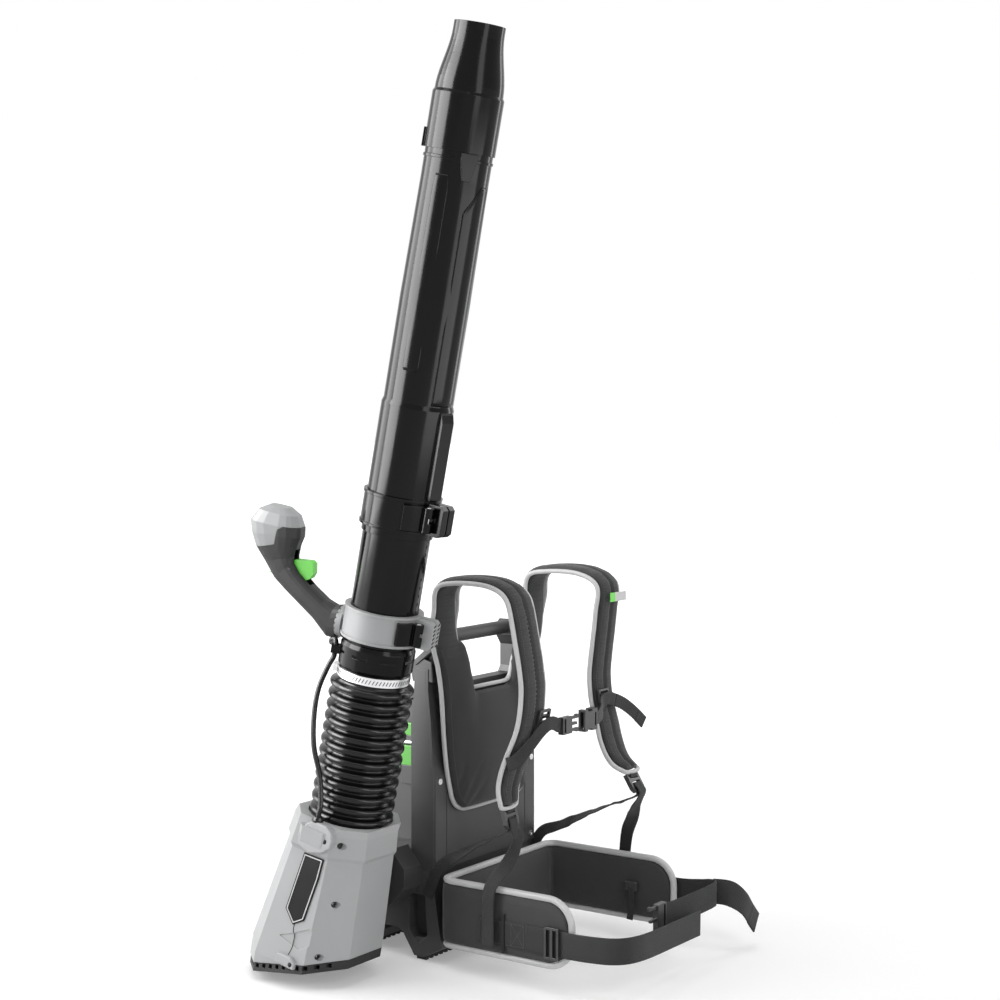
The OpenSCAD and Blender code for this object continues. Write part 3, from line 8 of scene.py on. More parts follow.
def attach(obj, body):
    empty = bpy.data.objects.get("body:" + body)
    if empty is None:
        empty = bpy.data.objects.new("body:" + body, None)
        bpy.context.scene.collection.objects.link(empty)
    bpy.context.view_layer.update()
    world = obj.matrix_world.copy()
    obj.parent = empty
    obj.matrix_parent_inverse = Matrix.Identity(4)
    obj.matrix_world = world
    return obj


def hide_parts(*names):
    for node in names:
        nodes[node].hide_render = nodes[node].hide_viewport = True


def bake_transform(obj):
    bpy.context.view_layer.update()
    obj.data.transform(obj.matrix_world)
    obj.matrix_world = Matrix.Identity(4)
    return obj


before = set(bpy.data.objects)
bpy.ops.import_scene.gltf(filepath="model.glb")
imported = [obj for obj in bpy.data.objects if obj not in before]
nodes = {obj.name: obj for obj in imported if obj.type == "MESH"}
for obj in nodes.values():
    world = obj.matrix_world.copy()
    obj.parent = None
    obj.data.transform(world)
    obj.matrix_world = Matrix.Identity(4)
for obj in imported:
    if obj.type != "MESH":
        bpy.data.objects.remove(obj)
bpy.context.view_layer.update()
print("frame loaded:", len(nodes), "nodes")

def linked(name, data):
    made = bpy.data.objects.new(name, data)
    bpy.context.scene.collection.objects.link(made)
    return made

def compass(degrees):       # cosine and sine of an angle
    return math.cos(math.radians(degrees)), math.sin(math.radians(degrees))

camera = {"place": (-2.3157, -1.6717, 0.830), "right": (0.572, -0.820, 0.0), "droop": 2.9, "lens": 66.9}

def addCamera(c):
    data = bpy.data.cameras.new("photoCamera")
    data.sensor_width, data.sensor_fit, data.lens = 36.0, "HORIZONTAL", c["lens"]
    data.clip_end = 60
    right = Vector(c["right"]).normalized()
    flat, down = compass(c["droop"])
    ahead = (Vector((0, 0, 1)).cross(right) * flat - Vector((0, 0, down))).normalized()
    turn = Matrix((right, right.cross(ahead), -ahead)).transposed().to_4x4()
    eye = linked("photoCamera", data)
    eye.matrix_world = Matrix.Translation(c["place"]) @ turn
    bpy.context.scene.camera = eye
    return right, ahead

rightWay, aheadWay = addCamera(camera)

def feed(tree, node, values):       # links or sets inputs, by label or by place
    for key, value in values.items():
        if isinstance(value, bpy.types.NodeSocket):
            tree.links.new(value, node.inputs[key])
        else:
            node.inputs[key].default_value = value

def addNode(tree, kind, settings=None, **sockets):      # i0, i1 and so on are inputs by place
    made = tree.nodes.new(kind)
    for key, value in (settings or {}).items():
        setattr(made, key, value)
    feed(tree, made, {int(key[1:]) if key[1:].isdigit() else key: value for key, value in sockets.items()})
    return made

def startMaterial(name):
    material = bpy.data.materials.new(name)
    material.use_nodes = True
    tree = material.node_tree
    return material, tree, tree.nodes["Principled BSDF"]

def calc(tree, operation, *values):
    inputs = {"i" + str(k): value for k, value in enumerate(values)}
    return addNode(tree, "ShaderNodeMath", {"operation": operation}, **inputs).outputs[0]

def noise(tree, place, scale, detail, rough=0.5):
    made = addNode(tree, "ShaderNodeTexNoise", None, Vector=place, Scale=scale, Detail=detail, Roughness=rough)
    return made.outputs[0]

def mixColour(tree, factor, a, b):
    return addNode(tree, "ShaderNodeMix", {"data_type": "RGBA"}, i0=factor, i6=a, i7=b).outputs[2]

def mapRange(tree, value, low, high, toLow, toHigh):
    return addNode(tree, "ShaderNodeMapRange", None, Value=value, i1=low, i2=high, i3=toLow, i4=toHigh).outputs[0]

def shade(colour, k):
    return (colour[0] * k, colour[1] * k, colour[2] * k, 1.0)

def objectPlace(tree):
    return addNode(tree, "ShaderNodeTexCoord").outputs["Object"]

def roughAbout(tree, value, rough, spread):
    return mapRange(tree, value, 0.3, 0.7, rough - spread, rough + spread)

# Moulded plastic, rubber or plated metal: patchy tone, fine grain and rubbed edges
plainMoulding = {"patch": 9.0, "spread": 0.10, "scuff": 160.0, "wear": 0.35, "edge": 0.0008, "grain": 900.0,
                 "smear": 26.0, "roughSpread": 0.05, "bump": 0.25, "depth": 0.00012, "metal": 0.0, "specular": 0.5}

def moulded(name, look):
    look = {"worn": look["colour"], **plainMoulding, **look}
    material, tree, shader = startMaterial(name)
    place = objectPlace(tree)
    patches = noise(tree, place, look["patch"], 4.0, 0.6)
    body = mixColour(tree, patches, *(shade(look["colour"], k) for k in (1 - look["spread"], 1 + look["spread"])))
    rounded = addNode(tree, "ShaderNodeBevel", {"samples": 4}, Radius=look["edge"]).outputs[0]
    flat = addNode(tree, "ShaderNodeNewGeometry").outputs["Normal"]
    facing = addNode(tree, "ShaderNodeVectorMath", {"operation": "DOT_PRODUCT"}, i0=rounded, i1=flat).outputs["Value"]
    rim = mapRange(tree, facing, 0.985, 0.90, 0.0, look["wear"])
    rub = calc(tree, "MULTIPLY", rim, noise(tree, place, look["scuff"], 3.0))
    grain = noise(tree, place, look["grain"], 2.0)
    smear = noise(tree, place, look["smear"], 5.0, 0.65)
    bump = addNode(tree, "ShaderNodeBump", None, Strength=look["bump"], Distance=look["depth"], Height=grain,
                   Normal=rounded)
    feed(tree, shader, {
        "Base Color": mixColour(tree, rub, body, shade(look["worn"], 1.0)), "Normal": bump.outputs[0],
        "Roughness": roughAbout(tree, smear, look["rough"], look["roughSpread"]),
        "Metallic": look["metal"], "Specular IOR Level": look["specular"]})
    return material

# Woven or knitted cloth on the piece's own weave UV map, which is in metres
plainCloth = {"crossPitch": 1.0, "twill": False, "fuzz": 700.0, "dust": 14.0, "bump": 0.5, "specular": 0.25}

def cloth(name, look):
    look = {**plainCloth, **look}
    material, tree, shader = startMaterial(name)
    lay = addNode(tree, "ShaderNodeUVMap", {"uv_map": "weave"}).outputs[0]
    place = objectPlace(tree)
    u, v = addNode(tree, "ShaderNodeSeparateXYZ", None, i0=lay).outputs[:2]
    def wave(value, k):
        angle = calc(tree, "MULTIPLY_ADD", value, 2 * math.pi / look["pitch"] * k, 0.0)
        return calc(tree, "SINE", angle)
    across = wave(calc(tree, "ADD", u, v), 0.5) if look["twill"] else wave(u, look["crossPitch"])
    thread = calc(tree, "MULTIPLY", across, wave(v, 1.0))
    height = calc(tree, "MULTIPLY_ADD", noise(tree, place, look["fuzz"], 3.0), 0.8, thread)
    bump = addNode(tree, "ShaderNodeBump", None, Strength=look["bump"], Distance=look["depth"], Height=height)
    # The colour follows the weave's height: darker in the low spots between threads and lighter on their tops, painted
    # shade and highlight, with random tone from the fuzz noise.
    tone = mapRange(tree, height, -0.6, 1.5, 0.0, 1.0)
    woven = mixColour(tree, tone, shade(look["colour"], 0.72), shade(look["colour"], 1.25))
    dust = noise(tree, place, look["dust"], 5.0, 0.7)
    feed(tree, shader, {
        "Base Color": mixColour(tree, mapRange(tree, dust, 0.45, 0.75, 0.0, 0.35), woven, shade(look["colour"], 1.5)),
        "Roughness": roughAbout(tree, dust, look["rough"], 0.05), "Normal": bump.outputs[0],
        "Specular IOR Level": look["specular"], "Sheen Weight": look["sheen"], "Sheen Roughness": 0.45})
    return material

def grey(value, blue=0.0):      # a grey, a touch bluer where blue is given
    return value, value, value + blue

finishes = {
    "frameNylon": dict(colour=grey(0.040, 0.001), worn=grey(0.11), rough=0.46, specular=0.45, grain=1100.0, bump=0.35,
                       wear=0.5),
    "tubeBlack": dict(colour=grey(0.003, 0.0003), worn=grey(0.03), rough=0.15, roughSpread=0.03, specular=0.13,
                      grain=260.0, bump=0.03, depth=0.0002, edge=0.0012, wear=0.4),
    "gripRubber": dict(colour=grey(0.028, 0.001), worn=grey(0.09), rough=0.5, specular=0.24, grain=800.0, bump=0.35),
    "hoseRubber": dict(colour=grey(0.004, 0.0005), worn=grey(0.04), rough=0.2, specular=0.26, grain=600.0, bump=0.12,
                       edge=0.0025, smear=40.0, roughSpread=0.07),
    "soleRubber": dict(colour=grey(0.020, 0.001), worn=(0.10, 0.10, 0.095), rough=0.66, specular=0.3, grain=500.0,
                       bump=0.5, wear=0.6),
    "shellGrey": dict(colour=(0.41, 0.415, 0.42), worn=grey(0.58), rough=0.50, specular=0.22, grain=1300.0, bump=0.4,
                      spread=0.045, edge=0.0012),
    "signalGreen": dict(colour=(0.13, 0.66, 0.05), worn=(0.3, 0.8, 0.2), rough=0.42, specular=0.45, grain=1200.0,
                        spread=0.05),
    "zincSteel": dict(colour=grey(0.62, 0.01), worn=grey(0.8), rough=0.30, metal=1.0, grain=420.0, bump=0.1,
                      roughSpread=0.08, edge=0.0004),
    "circuitGreen": dict(colour=(0.03, 0.16, 0.07), rough=0.35, grain=300.0, bump=0.2),
    "buckleNylon": dict(colour=grey(0.022, 0.001), worn=grey(0.09), rough=0.38, grain=1000.0, bump=0.2, edge=0.0007),
    "badgeBlack": dict(colour=grey(0.003), rough=0.35, specular=0.12, grain=500.0, bump=0.05),
    "badgeRim": dict(colour=grey(0.60), rough=0.40, bump=0.1, spread=0.03),
    "trimGrey": dict(colour=(0.58, 0.58, 0.585), worn=grey(0.5), rough=0.55, specular=0.3, bump=0.35, spread=0.05,
                     edge=0.0004),
    "threadGrey": dict(colour=grey(0.10), rough=0.6, specular=0.3, grain=2500.0, bump=0.3, edge=0.0001),
    # This near-black serves seams and black parts, and also painted shade: the cord in the strap grooves and the discs
    # in the shell's holes.
    "seamAndShadeBlack": dict(colour=grey(0.008), rough=0.75, specular=0.2, grain=1500.0, bump=0.4, edge=0.0002),
    "capGrey": dict(colour=(0.33, 0.335, 0.34), worn=grey(0.5), rough=0.48, specular=0.4, grain=1300.0, bump=0.4,
                    spread=0.05, edge=0.0016),
    "clampGrey": dict(colour=(0.34, 0.345, 0.35), worn=grey(0.5), rough=0.46, specular=0.45, grain=1300.0, bump=0.35,
                      spread=0.05, edge=0.0012),
    "tagWhite": dict(colour=grey(0.62), rough=0.6, specular=0.3, bump=0.2, edge=0.0003),
    "screwDark": dict(colour=grey(0.05, 0.002), rough=0.42, metal=0.6, grain=500.0, bump=0.1, edge=0.0004),
    "motorSteel": dict(colour=(0.35, 0.35, 0.36), rough=0.4, metal=1.0, grain=300.0, bump=0.15),
}
cloths = {
    "padCloth": dict(colour=grey(0.040, 0.001), pitch=0.0019, rough=0.82, sheen=0.2, depth=0.0002),
    "webbingCloth": dict(colour=grey(0.018, 0.001), pitch=0.0022, rough=0.7, sheen=0.1, depth=0.0003, bump=0.7,
                         twill=True),
}
surfaces = {name: moulded(name, look) for name, look in finishes.items()}
surfaces.update({name: cloth(name, look) for name, look in cloths.items()})
print("materials made:", len(surfaces))

# Finishes of the CAD nodes that no piece below replaces
nodeFinish = {
    "frameNylon": ["base_frame", "back_frame", "front_panel", "carry_handle", "hub_mount", "battery_bay",
                   "battery_pack", "fan_duct", "pivot_bush", "fan_rotor"],
    "tubeBlack": ["hose_collar", "inner_tube", "outer_tube", "tube_clamp", "nozzle", "tube_clamp_lever",
                  "handle_clamp_lever"],
    "gripRubber": ["handle_shell_right", "handle_shell_left"],
    "hoseRubber": ["cable_gland"],
    "soleRubber": ["foot_soles", "intake_grille"],
    "shellGrey": ["fan_shell_front", "fan_shell_rear"],
    "capGrey": ["handle_cap"],
    "clampGrey": ["handle_clamp"],
    "signalGreen": ["trigger", "cruise_dial"],
    "screwDark": ["shell_screws"],
    "zincSteel": ["panel_screws", "pivot_spindle", "battery_contacts", "hose_clamp", "tube_clamp_bolt",
                  "handle_clamp_bolt"],
    "motorSteel": ["motor"],
    "circuitGreen": ["control_board"],
    "buckleNylon": ["strap_sliders", "ladder_lock_right", "ladder_lock_left", "chest_buckle_male",
                    "chest_buckle_female", "waist_slider", "waist_buckle_male"],
    "badgeBlack": ["badge_plate"],
}
for finish, names in nodeFinish.items():
    for name in names:
        nodes[name].data.materials.clear()
        nodes[name].data.materials.append(surfaces[finish])

# Places on the blower and the pack, from millimetres
leanTurn = Matrix.Rotation(math.radians(11.8), 3, "X")
pivot = Vector((-0.250, 0.0555, 0.130))
panelFace = 31.5

def atBlower(x, y, u):      # about the tube's axis, from the pivot
    return pivot + leanTurn @ (Vector((x, y, u)) / 1000)

def onTube(turn, u, r):
    c, s = compass(turn)
    return atBlower(r * c, r * s, u)

def atPack(x, y, z):        # from the panel's face
    return Vector((x, y - panelFace, z)) / 1000

def asIs(x, y, z):
    return Vector((x, y, z)) / 1000

# Mesh helpers
def smoothed(piece, on=True):
    piece.data.polygons.foreach_set("use_smooth", [on] * len(piece.data.polygons))
    return piece

def newPiece(name, points, faces, finish, smooth=True, weave=None):     # weave: (across, along) of each face corner
    mesh = bpy.data.meshes.new(name)
    mesh.from_pydata([tuple(p) for p in points], [], faces)
    if weave:
        mesh.uv_layers.new(name="weave").data.foreach_set("uv", np.asarray(weave, dtype=np.float32).ravel())
    work = bmesh.new()
    work.from_mesh(mesh)
    bmesh.ops.recalc_face_normals(work, faces=work.faces)
    work.to_mesh(mesh)
    work.free()
    mesh.materials.append(surfaces[finish])
    return smoothed(linked(name, mesh), smooth)

def placed(piece, body, slotName, *replaced):
    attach(piece, body)
    if replaced:
        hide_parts(*replaced)
    return piece

# Swaps a piece's live modifiers for the mesh that they make
def settle(piece):
    depsgraph = bpy.context.evaluated_depsgraph_get()
    evaluated = piece.evaluated_get(depsgraph)
    made = bpy.data.meshes.new_from_object(evaluated, preserve_all_data_layers=True, depsgraph=depsgraph)
    piece.modifiers.clear()
    old = piece.data
    piece.data = made
    made.name = piece.name
    bpy.data.meshes.remove(old)
    return smoothed(piece)

def layWeave(piece, lay):       # lay gives (across, along) in metres for a point
    mesh = piece.data
    layer = mesh.uv_layers.get("weave") or mesh.uv_layers.new(name="weave")
    corners = np.empty(len(mesh.loops), dtype=np.int32)
    mesh.loops.foreach_get("vertex_index", corners)
    spots = np.asarray([lay(v.co) for v in mesh.vertices], dtype=np.float32)
    layer.data.foreach_set("uv", spots[corners].ravel())

def vertexArray(mesh, what="co"):
    values = np.empty(len(mesh.vertices) * 3)
    mesh.vertices.foreach_get(what, values)
    return values.reshape(-1, 3)

def treeOf(points):
    tree = KDTree(len(points))
    for i, p in enumerate(points):
        tree.insert(p, i)
    tree.balance()
    return tree

def tubeFaces(rows, n, closed=False):       # quads between rows of n points
    return [(j * n + i, j * n + (i + 1) % n, (j + 1) % rows * n + (i + 1) % n, (j + 1) % rows * n + i)
            for j in range(rows if closed else rows - 1) for i in range(n)]

def wayAt(points, i, loop=False):       # direction of a line at one of its points
    last = len(points) - 1
    ahead = points[(i + 1) % len(points)] if loop else points[min(i + 1, last)]
    behind = points[i - 1] if loop else points[max(i - 1, 0)]
    return (ahead - behind).normalized()

def eased(points, steps, loop=False):       # smooth curve through the points
    n = len(points)
    out = []
    for i in range(n if loop else n - 1):
        a, b, c, d = (points[j % n] if loop else points[min(max(j, 0), n - 1)] for j in (i - 1, i, i + 1, i + 2))
        for k in range(steps):
            g = k / steps
            cubic = g ** 3 * (3 * b - a - 3 * c + d)
            out.append(0.5 * (2 * b + g * (c - a) + g * g * (2 * a - 5 * b + 4 * c - d) + cubic))
    if not loop:
        out.append(points[-1].copy())
    return out

def evenly(points, gap, loop=False):        # the same line with points a gap apart
    line = points + [points[0]] if loop else points
    far = [0.0]
    for a, b in zip(line, line[1:]):
        far.append(far[-1] + (b - a).length)
    count = max(2, round(far[-1] / gap))
    out, j = [], 0
    for k in range(count if loop else count + 1):
        at = far[-1] * k / count
        while j < len(far) - 2 and far[j + 1] < at:
            j += 1
        g = (at - far[j]) / max(far[j + 1] - far[j], 1e-9)
        out.append(line[j].lerp(line[j + 1], min(1, g)))
    return out

# Sweeps a closed section of (across, up) along a path; sides holds the across direction at each point
def sweepPiece(name, path, sides, section, finish, loop=False):
    m = len(path)
    points, far = [], [0.0]
    for i in range(m):
        way = wayAt(path, i, loop)
        side = (sides[i] - way * sides[i].dot(way)).normalized()
        up = way.cross(side)
        shape = section(i / max(m - 1, 1)) if callable(section) else section
        points += [path[i] + side * a + up * b for a, b in shape]
        if i:
            far.append(far[-1] + (path[i] - path[i - 1]).length)
    far.append(far[-1] + (path[0] - path[-1]).length)
    shape = section(0.5) if callable(section) else section
    n = len(shape)
    girth = [0.0]
    for i in range(n):
        girth.append(girth[-1] + (Vector(shape[(i + 1) % n]) - Vector(shape[i])).length)
    faces = tubeFaces(m, n, loop)
    weave = []
    for k in range(len(faces)):
        j, i = divmod(k, n)
        weave += [(girth[i], far[j]), (girth[i + 1], far[j]), (girth[i + 1], far[j + 1]), (girth[i], far[j + 1])]
    if not loop:
        faces += [tuple(range(n)), tuple(range((m - 1) * n, m * n))]
        weave += [(0, 0)] * (2 * n)
    return newPiece(name, points, faces, finish, True, weave)

def oval(a, b, n=16, power=0.85):
    def bent(x):
        return math.copysign(abs(x) ** power, x)
    turns = [2 * math.pi * k / n for k in range(n)]
    return [(a * bent(math.cos(g)), b * bent(math.sin(g))) for g in turns]

def roundLine(name, line, side, radius, n, finish):
    return sweepPiece(name, line, [Vector(side)] * len(line), oval(radius / 1000, radius / 1000, n, 1.0), finish)

def steadied(sides):        # no side direction flips from one point to the next
    for i in range(1, len(sides)):
        if sides[i].dot(sides[i - 1]) < 0:
            sides[i] = -sides[i]
    return sides

# Small shapes repeated on points by Geometry Nodes
repeatForms = {"Block": ("GeometryNodeMeshCube", {"Size": (1, 1, 1)}),
               "Bead": ("GeometryNodeMeshUVSphere", {"Segments": 8, "Rings": 5, "Radius": 0.5}),
               "Disc": ("GeometryNodeMeshCylinder", {"Vertices": 24, "Radius": 0.5, "Depth": 1.0})}

def repeatTree(shape):
    tree = bpy.data.node_groups.new("repeat" + shape, "GeometryNodeTree")
    face = tree.interface
    face.new_socket("Geometry", in_out="INPUT", socket_type="NodeSocketGeometry")
    for label in ("Length", "Width", "Height"):
        face.new_socket(label, in_out="INPUT", socket_type="NodeSocketFloat")
    face.new_socket("Material", in_out="INPUT", socket_type="NodeSocketMaterial")
    face.new_socket("Geometry", in_out="OUTPUT", socket_type="NodeSocketGeometry")
    given, made = tree.nodes.new("NodeGroupInput").outputs, tree.nodes.new("NodeGroupOutput")
    size = addNode(tree, "ShaderNodeCombineXYZ", None, X=given["Length"], Y=given["Width"],
                   Z=given["Height"]).outputs[0]
    kind, sizes = repeatForms[shape]
    form = addNode(tree, kind, None, **sizes).outputs[0]
    along, up = (addNode(tree, "GeometryNodeInputNamedAttribute", {"data_type": "FLOAT_VECTOR"}, Name=label).outputs[0]
                 for label in ("along", "up"))
    axes = {"primary_axis": "Z", "secondary_axis": "X"}
    turn = addNode(tree, "FunctionNodeAxesToRotation", axes, i0=up, i1=along).outputs[0]
    spread = addNode(tree, "GeometryNodeInstanceOnPoints", None, Points=given["Geometry"], Instance=form,
                     Rotation=turn, Scale=size).outputs[0]
    real = addNode(tree, "GeometryNodeRealizeInstances", None, Geometry=spread).outputs[0]
    done = addNode(tree, "GeometryNodeSetMaterial", None, Geometry=real, Material=given["Material"]).outputs[0]
    tree.links.new(done, made.inputs[0])
    return tree

repeatTrees = {shape: repeatTree(shape) for shape in repeatForms}

def repeated(name, spots, size, shape, finish, smooth=True):        # spots are (place, along, up)
    mesh = bpy.data.meshes.new(name)
    mesh.from_pydata([tuple(s[0]) for s in spots], [], [])
    for label, k in (("along", 1), ("up", 2)):
        layer = mesh.attributes.new(label, "FLOAT_VECTOR", "POINT")
        layer.data.foreach_set("vector", np.asarray([tuple(s[k]) for s in spots], dtype=np.float32).ravel())
    piece = linked(name, mesh)
    setter = piece.modifiers.new("repeat", "NODES")
    setter.node_group = repeatTrees[shape]
    values = dict(zip(("Length", "Width", "Height"), size), Material=surfaces[finish])
    for item in setter.node_group.interface.items_tree:
        if item.in_out == "INPUT" and item.name in values:
            setter[item.identifier] = values[item.name]
    return smoothed(settle(piece), smooth)

# Padded pieces: shells joined by a remesh, held at their seams and filled by a cloth pressure simulation
stuffing = {"voxel": 0.0046, "soften": (0.5, 4), "pressure": 4.0, "mass": 0.3, "quality": 4, "frames": 20, "cap": 0.006,
            "seamReach": 0.0075, "quick": 0.003, "quickFrom": 0.006, "quickReach": 0.014}

def simulated(piece, rest, near, s):        # how far each point moves as the piece fills
    held = piece.vertex_groups.new(name="sewn")
    held.add([int(i) for i in np.nonzero(near < s["seamReach"])[0]], 1.0, "REPLACE")
    fill = piece.modifiers.new("stuffing", "CLOTH")
    fill.settings.use_pressure = True
    fill.settings.uniform_pressure_force = s["pressure"]
    fill.settings.vertex_group_mass = "sewn"
    fill.settings.effector_weights.gravity = 0.0
    fill.settings.quality, fill.settings.mass = s["quality"], s["mass"]
    fill.point_cache.frame_start, fill.point_cache.frame_end = 1, s["frames"]
    scene = bpy.context.scene
    for step in range(1, s["frames"] + 1):
        scene.frame_set(step)
        bpy.context.view_layer.update()
    move = vertexArray(piece.evaluated_get(bpy.context.evaluated_depsgraph_get()).data) - rest
    far = np.linalg.norm(move, axis=1)
    print(piece.name, "swelled, mean mm", round(float(far.mean() * 1000), 2), "most", round(float(far.max() * 1000), 1))
    piece.modifiers.clear()
    piece.vertex_groups.clear()
    scene.frame_set(1)
    return move * np.minimum(1.0, s["cap"] / np.maximum(far, 1e-9))[:, None]

def puffUp(name, shells, seams, finish, keepOut):
    points, faces = [], []
    for shellPoints, shellFaces in shells:
        faces += [tuple(len(points) + i for i in f) for f in shellFaces]
        points += shellPoints
    piece = newPiece(name, points, faces, finish)
    even = piece.modifiers.new("evenMesh", "REMESH")
    even.mode, even.voxel_size = "VOXEL", stuffing["voxel"]
    soften = piece.modifiers.new("soften", "SMOOTH")
    soften.factor, soften.iterations = stuffing["soften"]
    settle(piece)
    mesh = piece.data
    rest = vertexArray(mesh)
    tree = treeOf(seams)
    near = np.array([tree.find(p)[2] for p in rest])
    rest = rest + simulated(piece, rest, near, stuffing)
    mesh.vertices.foreach_set("co", keepOut(rest).ravel())
    mesh.update()
    finer = piece.modifiers.new("finer", "SUBSURF")
    finer.levels = finer.render_levels = 1
    return settle(piece)

def pressLines(piece, lines, reach, depth):     # presses sewn lines of (place, normal) into the surface
    mesh = piece.data
    spots, normals = vertexArray(mesh), vertexArray(mesh, "normal")
    points = [spot for line in lines for spot in line]
    tree = treeOf([p for p, n in points])
    for i in range(len(spots)):
        p, j, far = tree.find(spots[i])
        out = points[j][1]
        if far < reach * 3 and normals[i] @ np.array(out) > 0.3:
            across = Vector(spots[i]) - p
            far = (across - out * across.dot(out)).length
            if far < reach:
                spots[i] -= normals[i] * depth * (0.5 + 0.5 * math.cos(math.pi * far / reach))
    mesh.vertices.foreach_set("co", spots.ravel())
    mesh.update()

def swell(a):
    return max(0.0, 1 - abs(2 * a - 1) ** 3) ** 0.6

def between(table, x):
    return float(np.interp(x, *zip(*table)))

def cushion(na, nb, front, back):       # closed shell between two grids of na by nb faces
    row, count = na + 1, (na + 1) * (nb + 1)
    points = [face(i / na, j / nb) for face in (front, back) for j in range(nb + 1) for i in range(na + 1)]
    faces = []
    for j in range(nb):
        for i in range(na):
            a = j * row + i
            c = count + a
            faces += [(a, a + 1, a + row + 1, a + row), (c, c + row, c + row + 1, c + 1)]
    rim = list(range(na)) + [j * row + na for j in range(nb)]
    rim += [nb * row + i for i in range(na, 0, -1)] + [j * row for j in range(nb, 0, -1)]
    faces += [(b, a, count + a, count + b) for a, b in zip(rim, rim[1:] + rim[:1])]
    return points, faces

def binding(name, loop, sides, size):
    section = oval(*(v / 1000 for v in size), 18, 0.8)
    placed(sweepPiece(name, loop, steadied(sides), section, "trimGrey", True), "backpack", "pad_fabric")

# Harness pad: the back pad and both shoulder straps in one
harness = {
    "edge": [(219, 60), (222, 74), (228, 87), (237, 95), (250, 101), (291, 112), (337, 118.5), (354, 120), (400, 124),
             (440, 132), (470, 142)],       # height and half width
    "foot": 219, "neck": 405, "top": 470, "edgeDeep": 13, "crown": 9,
    "strapX": 119, "strapW": 62, "strapT": 15, "inset": 6.0, "taper": [0.06, 0.15, 0.3],
    "rim": (3.0, 3.5), "rimIn": 2.2, "rimBack": 3.0, "padY": -7.0,
    "roots": [(70, -7, 370, 22), (84, -7, 405, 29), (99, -7, 440, 32), (111, -7, 470, 31.5), (117.5, -6.8, 500, 31)],
    "rimFoot": [(0, 219), (34, 219), (57, 219.5)], "rimNeck": [(66, 440), (58.5, 417), (50, 406), (36, 404)],
    "channel": (0.0052, 0.0044),
    "rise": [(-6.8, 500), (-6.5, 530), (-7.5, 552), (-13, 565.5), (-25, 572.5), (-46, 575.5)],
    "right": [(-68, 576.5), (-90, 576), (-111, 573), (-130, 565.5), (-142, 553), (-148.5, 534), (-156, 498),
              (-163, 463), (-167.5, 428), (-165, 392), (-158.5, 364), (-148.5, 341), (-139, 320),
              (-131, 299), (-127, 277), (-131, 255)],
    "left": [(-68, 577), (-90, 577), (-111, 574.5), (-132, 567.5), (-144.5, 556), (-147, 540), (-143.5, 520),
             (-141, 496), (-138, 472), (-134, 441), (-132, 418), (-133, 396), (-136.5, 374), (-146, 342),
             (-152, 319), (-160, 297), (-170, 282), (-184, 273)]}

def strapRows(h, side):     # rows of (middle, half width) from inside the pad's wing to the strap's end
    route = h["rise"] + h["right" if side < 0 else "left"]
    rows = [(Vector((x * side, y, z)), half) for x, y, z, half in h["roots"]]
    for i, (y, z) in enumerate(route[1:]):
        k = i + 1 - (len(route) - len(h["taper"]))
        t = h["taper"][k] if k >= 0 else 0.0
        rows.append((Vector((side * (h["strapX"] + t * h["strapW"] * 0.4), y, z)), h["strapW"] / 2 * (1 - t)))
    return rows

def upFrom(way):        # square to a way in the plane of Y and Z
    return Vector((0, way.z, -way.y)).normalized()

def strapShell(h, rows):
    n, between3 = 20, 3
    rings = []
    for i, (mid, half) in enumerate(rows):
        up = upFrom(wayAt([m for m, _ in rows], i))
        section = oval(half - h["inset"] + 1, h["strapT"] / 2 - 0.5, n, 0.6)
        rings.append([atPack(*(mid + Vector((a, 0, 0)) + up * b)) for a, b in section])
    dense = [[a.lerp(b, k / between3) for a, b in zip(near, far)]
             for near, far in zip(rings, rings[1:]) for k in range(between3)] + [rings[-1]]
    last = (len(dense) - 1) * n
    faces = tubeFaces(len(dense), n) + [tuple(reversed(range(n))), tuple(range(last, last + n))]
    return [p for ring in dense for p in ring], faces

def rimHalf(h, side, rows):     # from the middle of the foot round the strap to the middle of the neck
    deep, rimIn = h["padY"] + h["rimBack"], h["rimIn"]
    rim = [Vector((side * x, deep, z + rimIn)) for x, z in h["rimFoot"]]
    rim += [Vector((side * (x - rimIn), deep, z + 1.5)) for z, x in h["edge"][1:-1]]
    held = []       # rows moved towards the wearer's side
    for i, (mid, half) in enumerate(rows):
        way = wayAt([m for m, _ in rows], i)
        held.append((mid - upFrom(way) * h["rimBack"] * (-1 if i < len(h["roots"]) else 1), half))
    outer, inner = ([mid + Vector((k * side * (half - rimIn), 0, 0)) for mid, half in held[3:]] for k in (1, -1))
    mid, half = held[-1]
    turn = [mid + Vector((side * (half - rimIn) * c, 0, 0)) + way * 5 * s
            for c, s in (compass(g) for g in (30, 60, 90, 120, 150))]
    rim += outer + turn + inner[::-1] + [Vector((side * x, deep, z)) for x, z in h["rimNeck"]]
    return [atPack(*p) for p in rim]

def strapChannel(h, rows):      # sewn line along the middle of the strap's outer face
    line = eased([atPack(*m) for m, _ in rows[4:]], 6)
    outs = [upFrom(wayAt(line, i)) for i in range(len(line))]
    return [(p + out * h["strapT"] / 2000, out) for p, out in zip(line, outs)]

def onBackPad(p):
    return p.z < 0.47 and p.y > -0.06

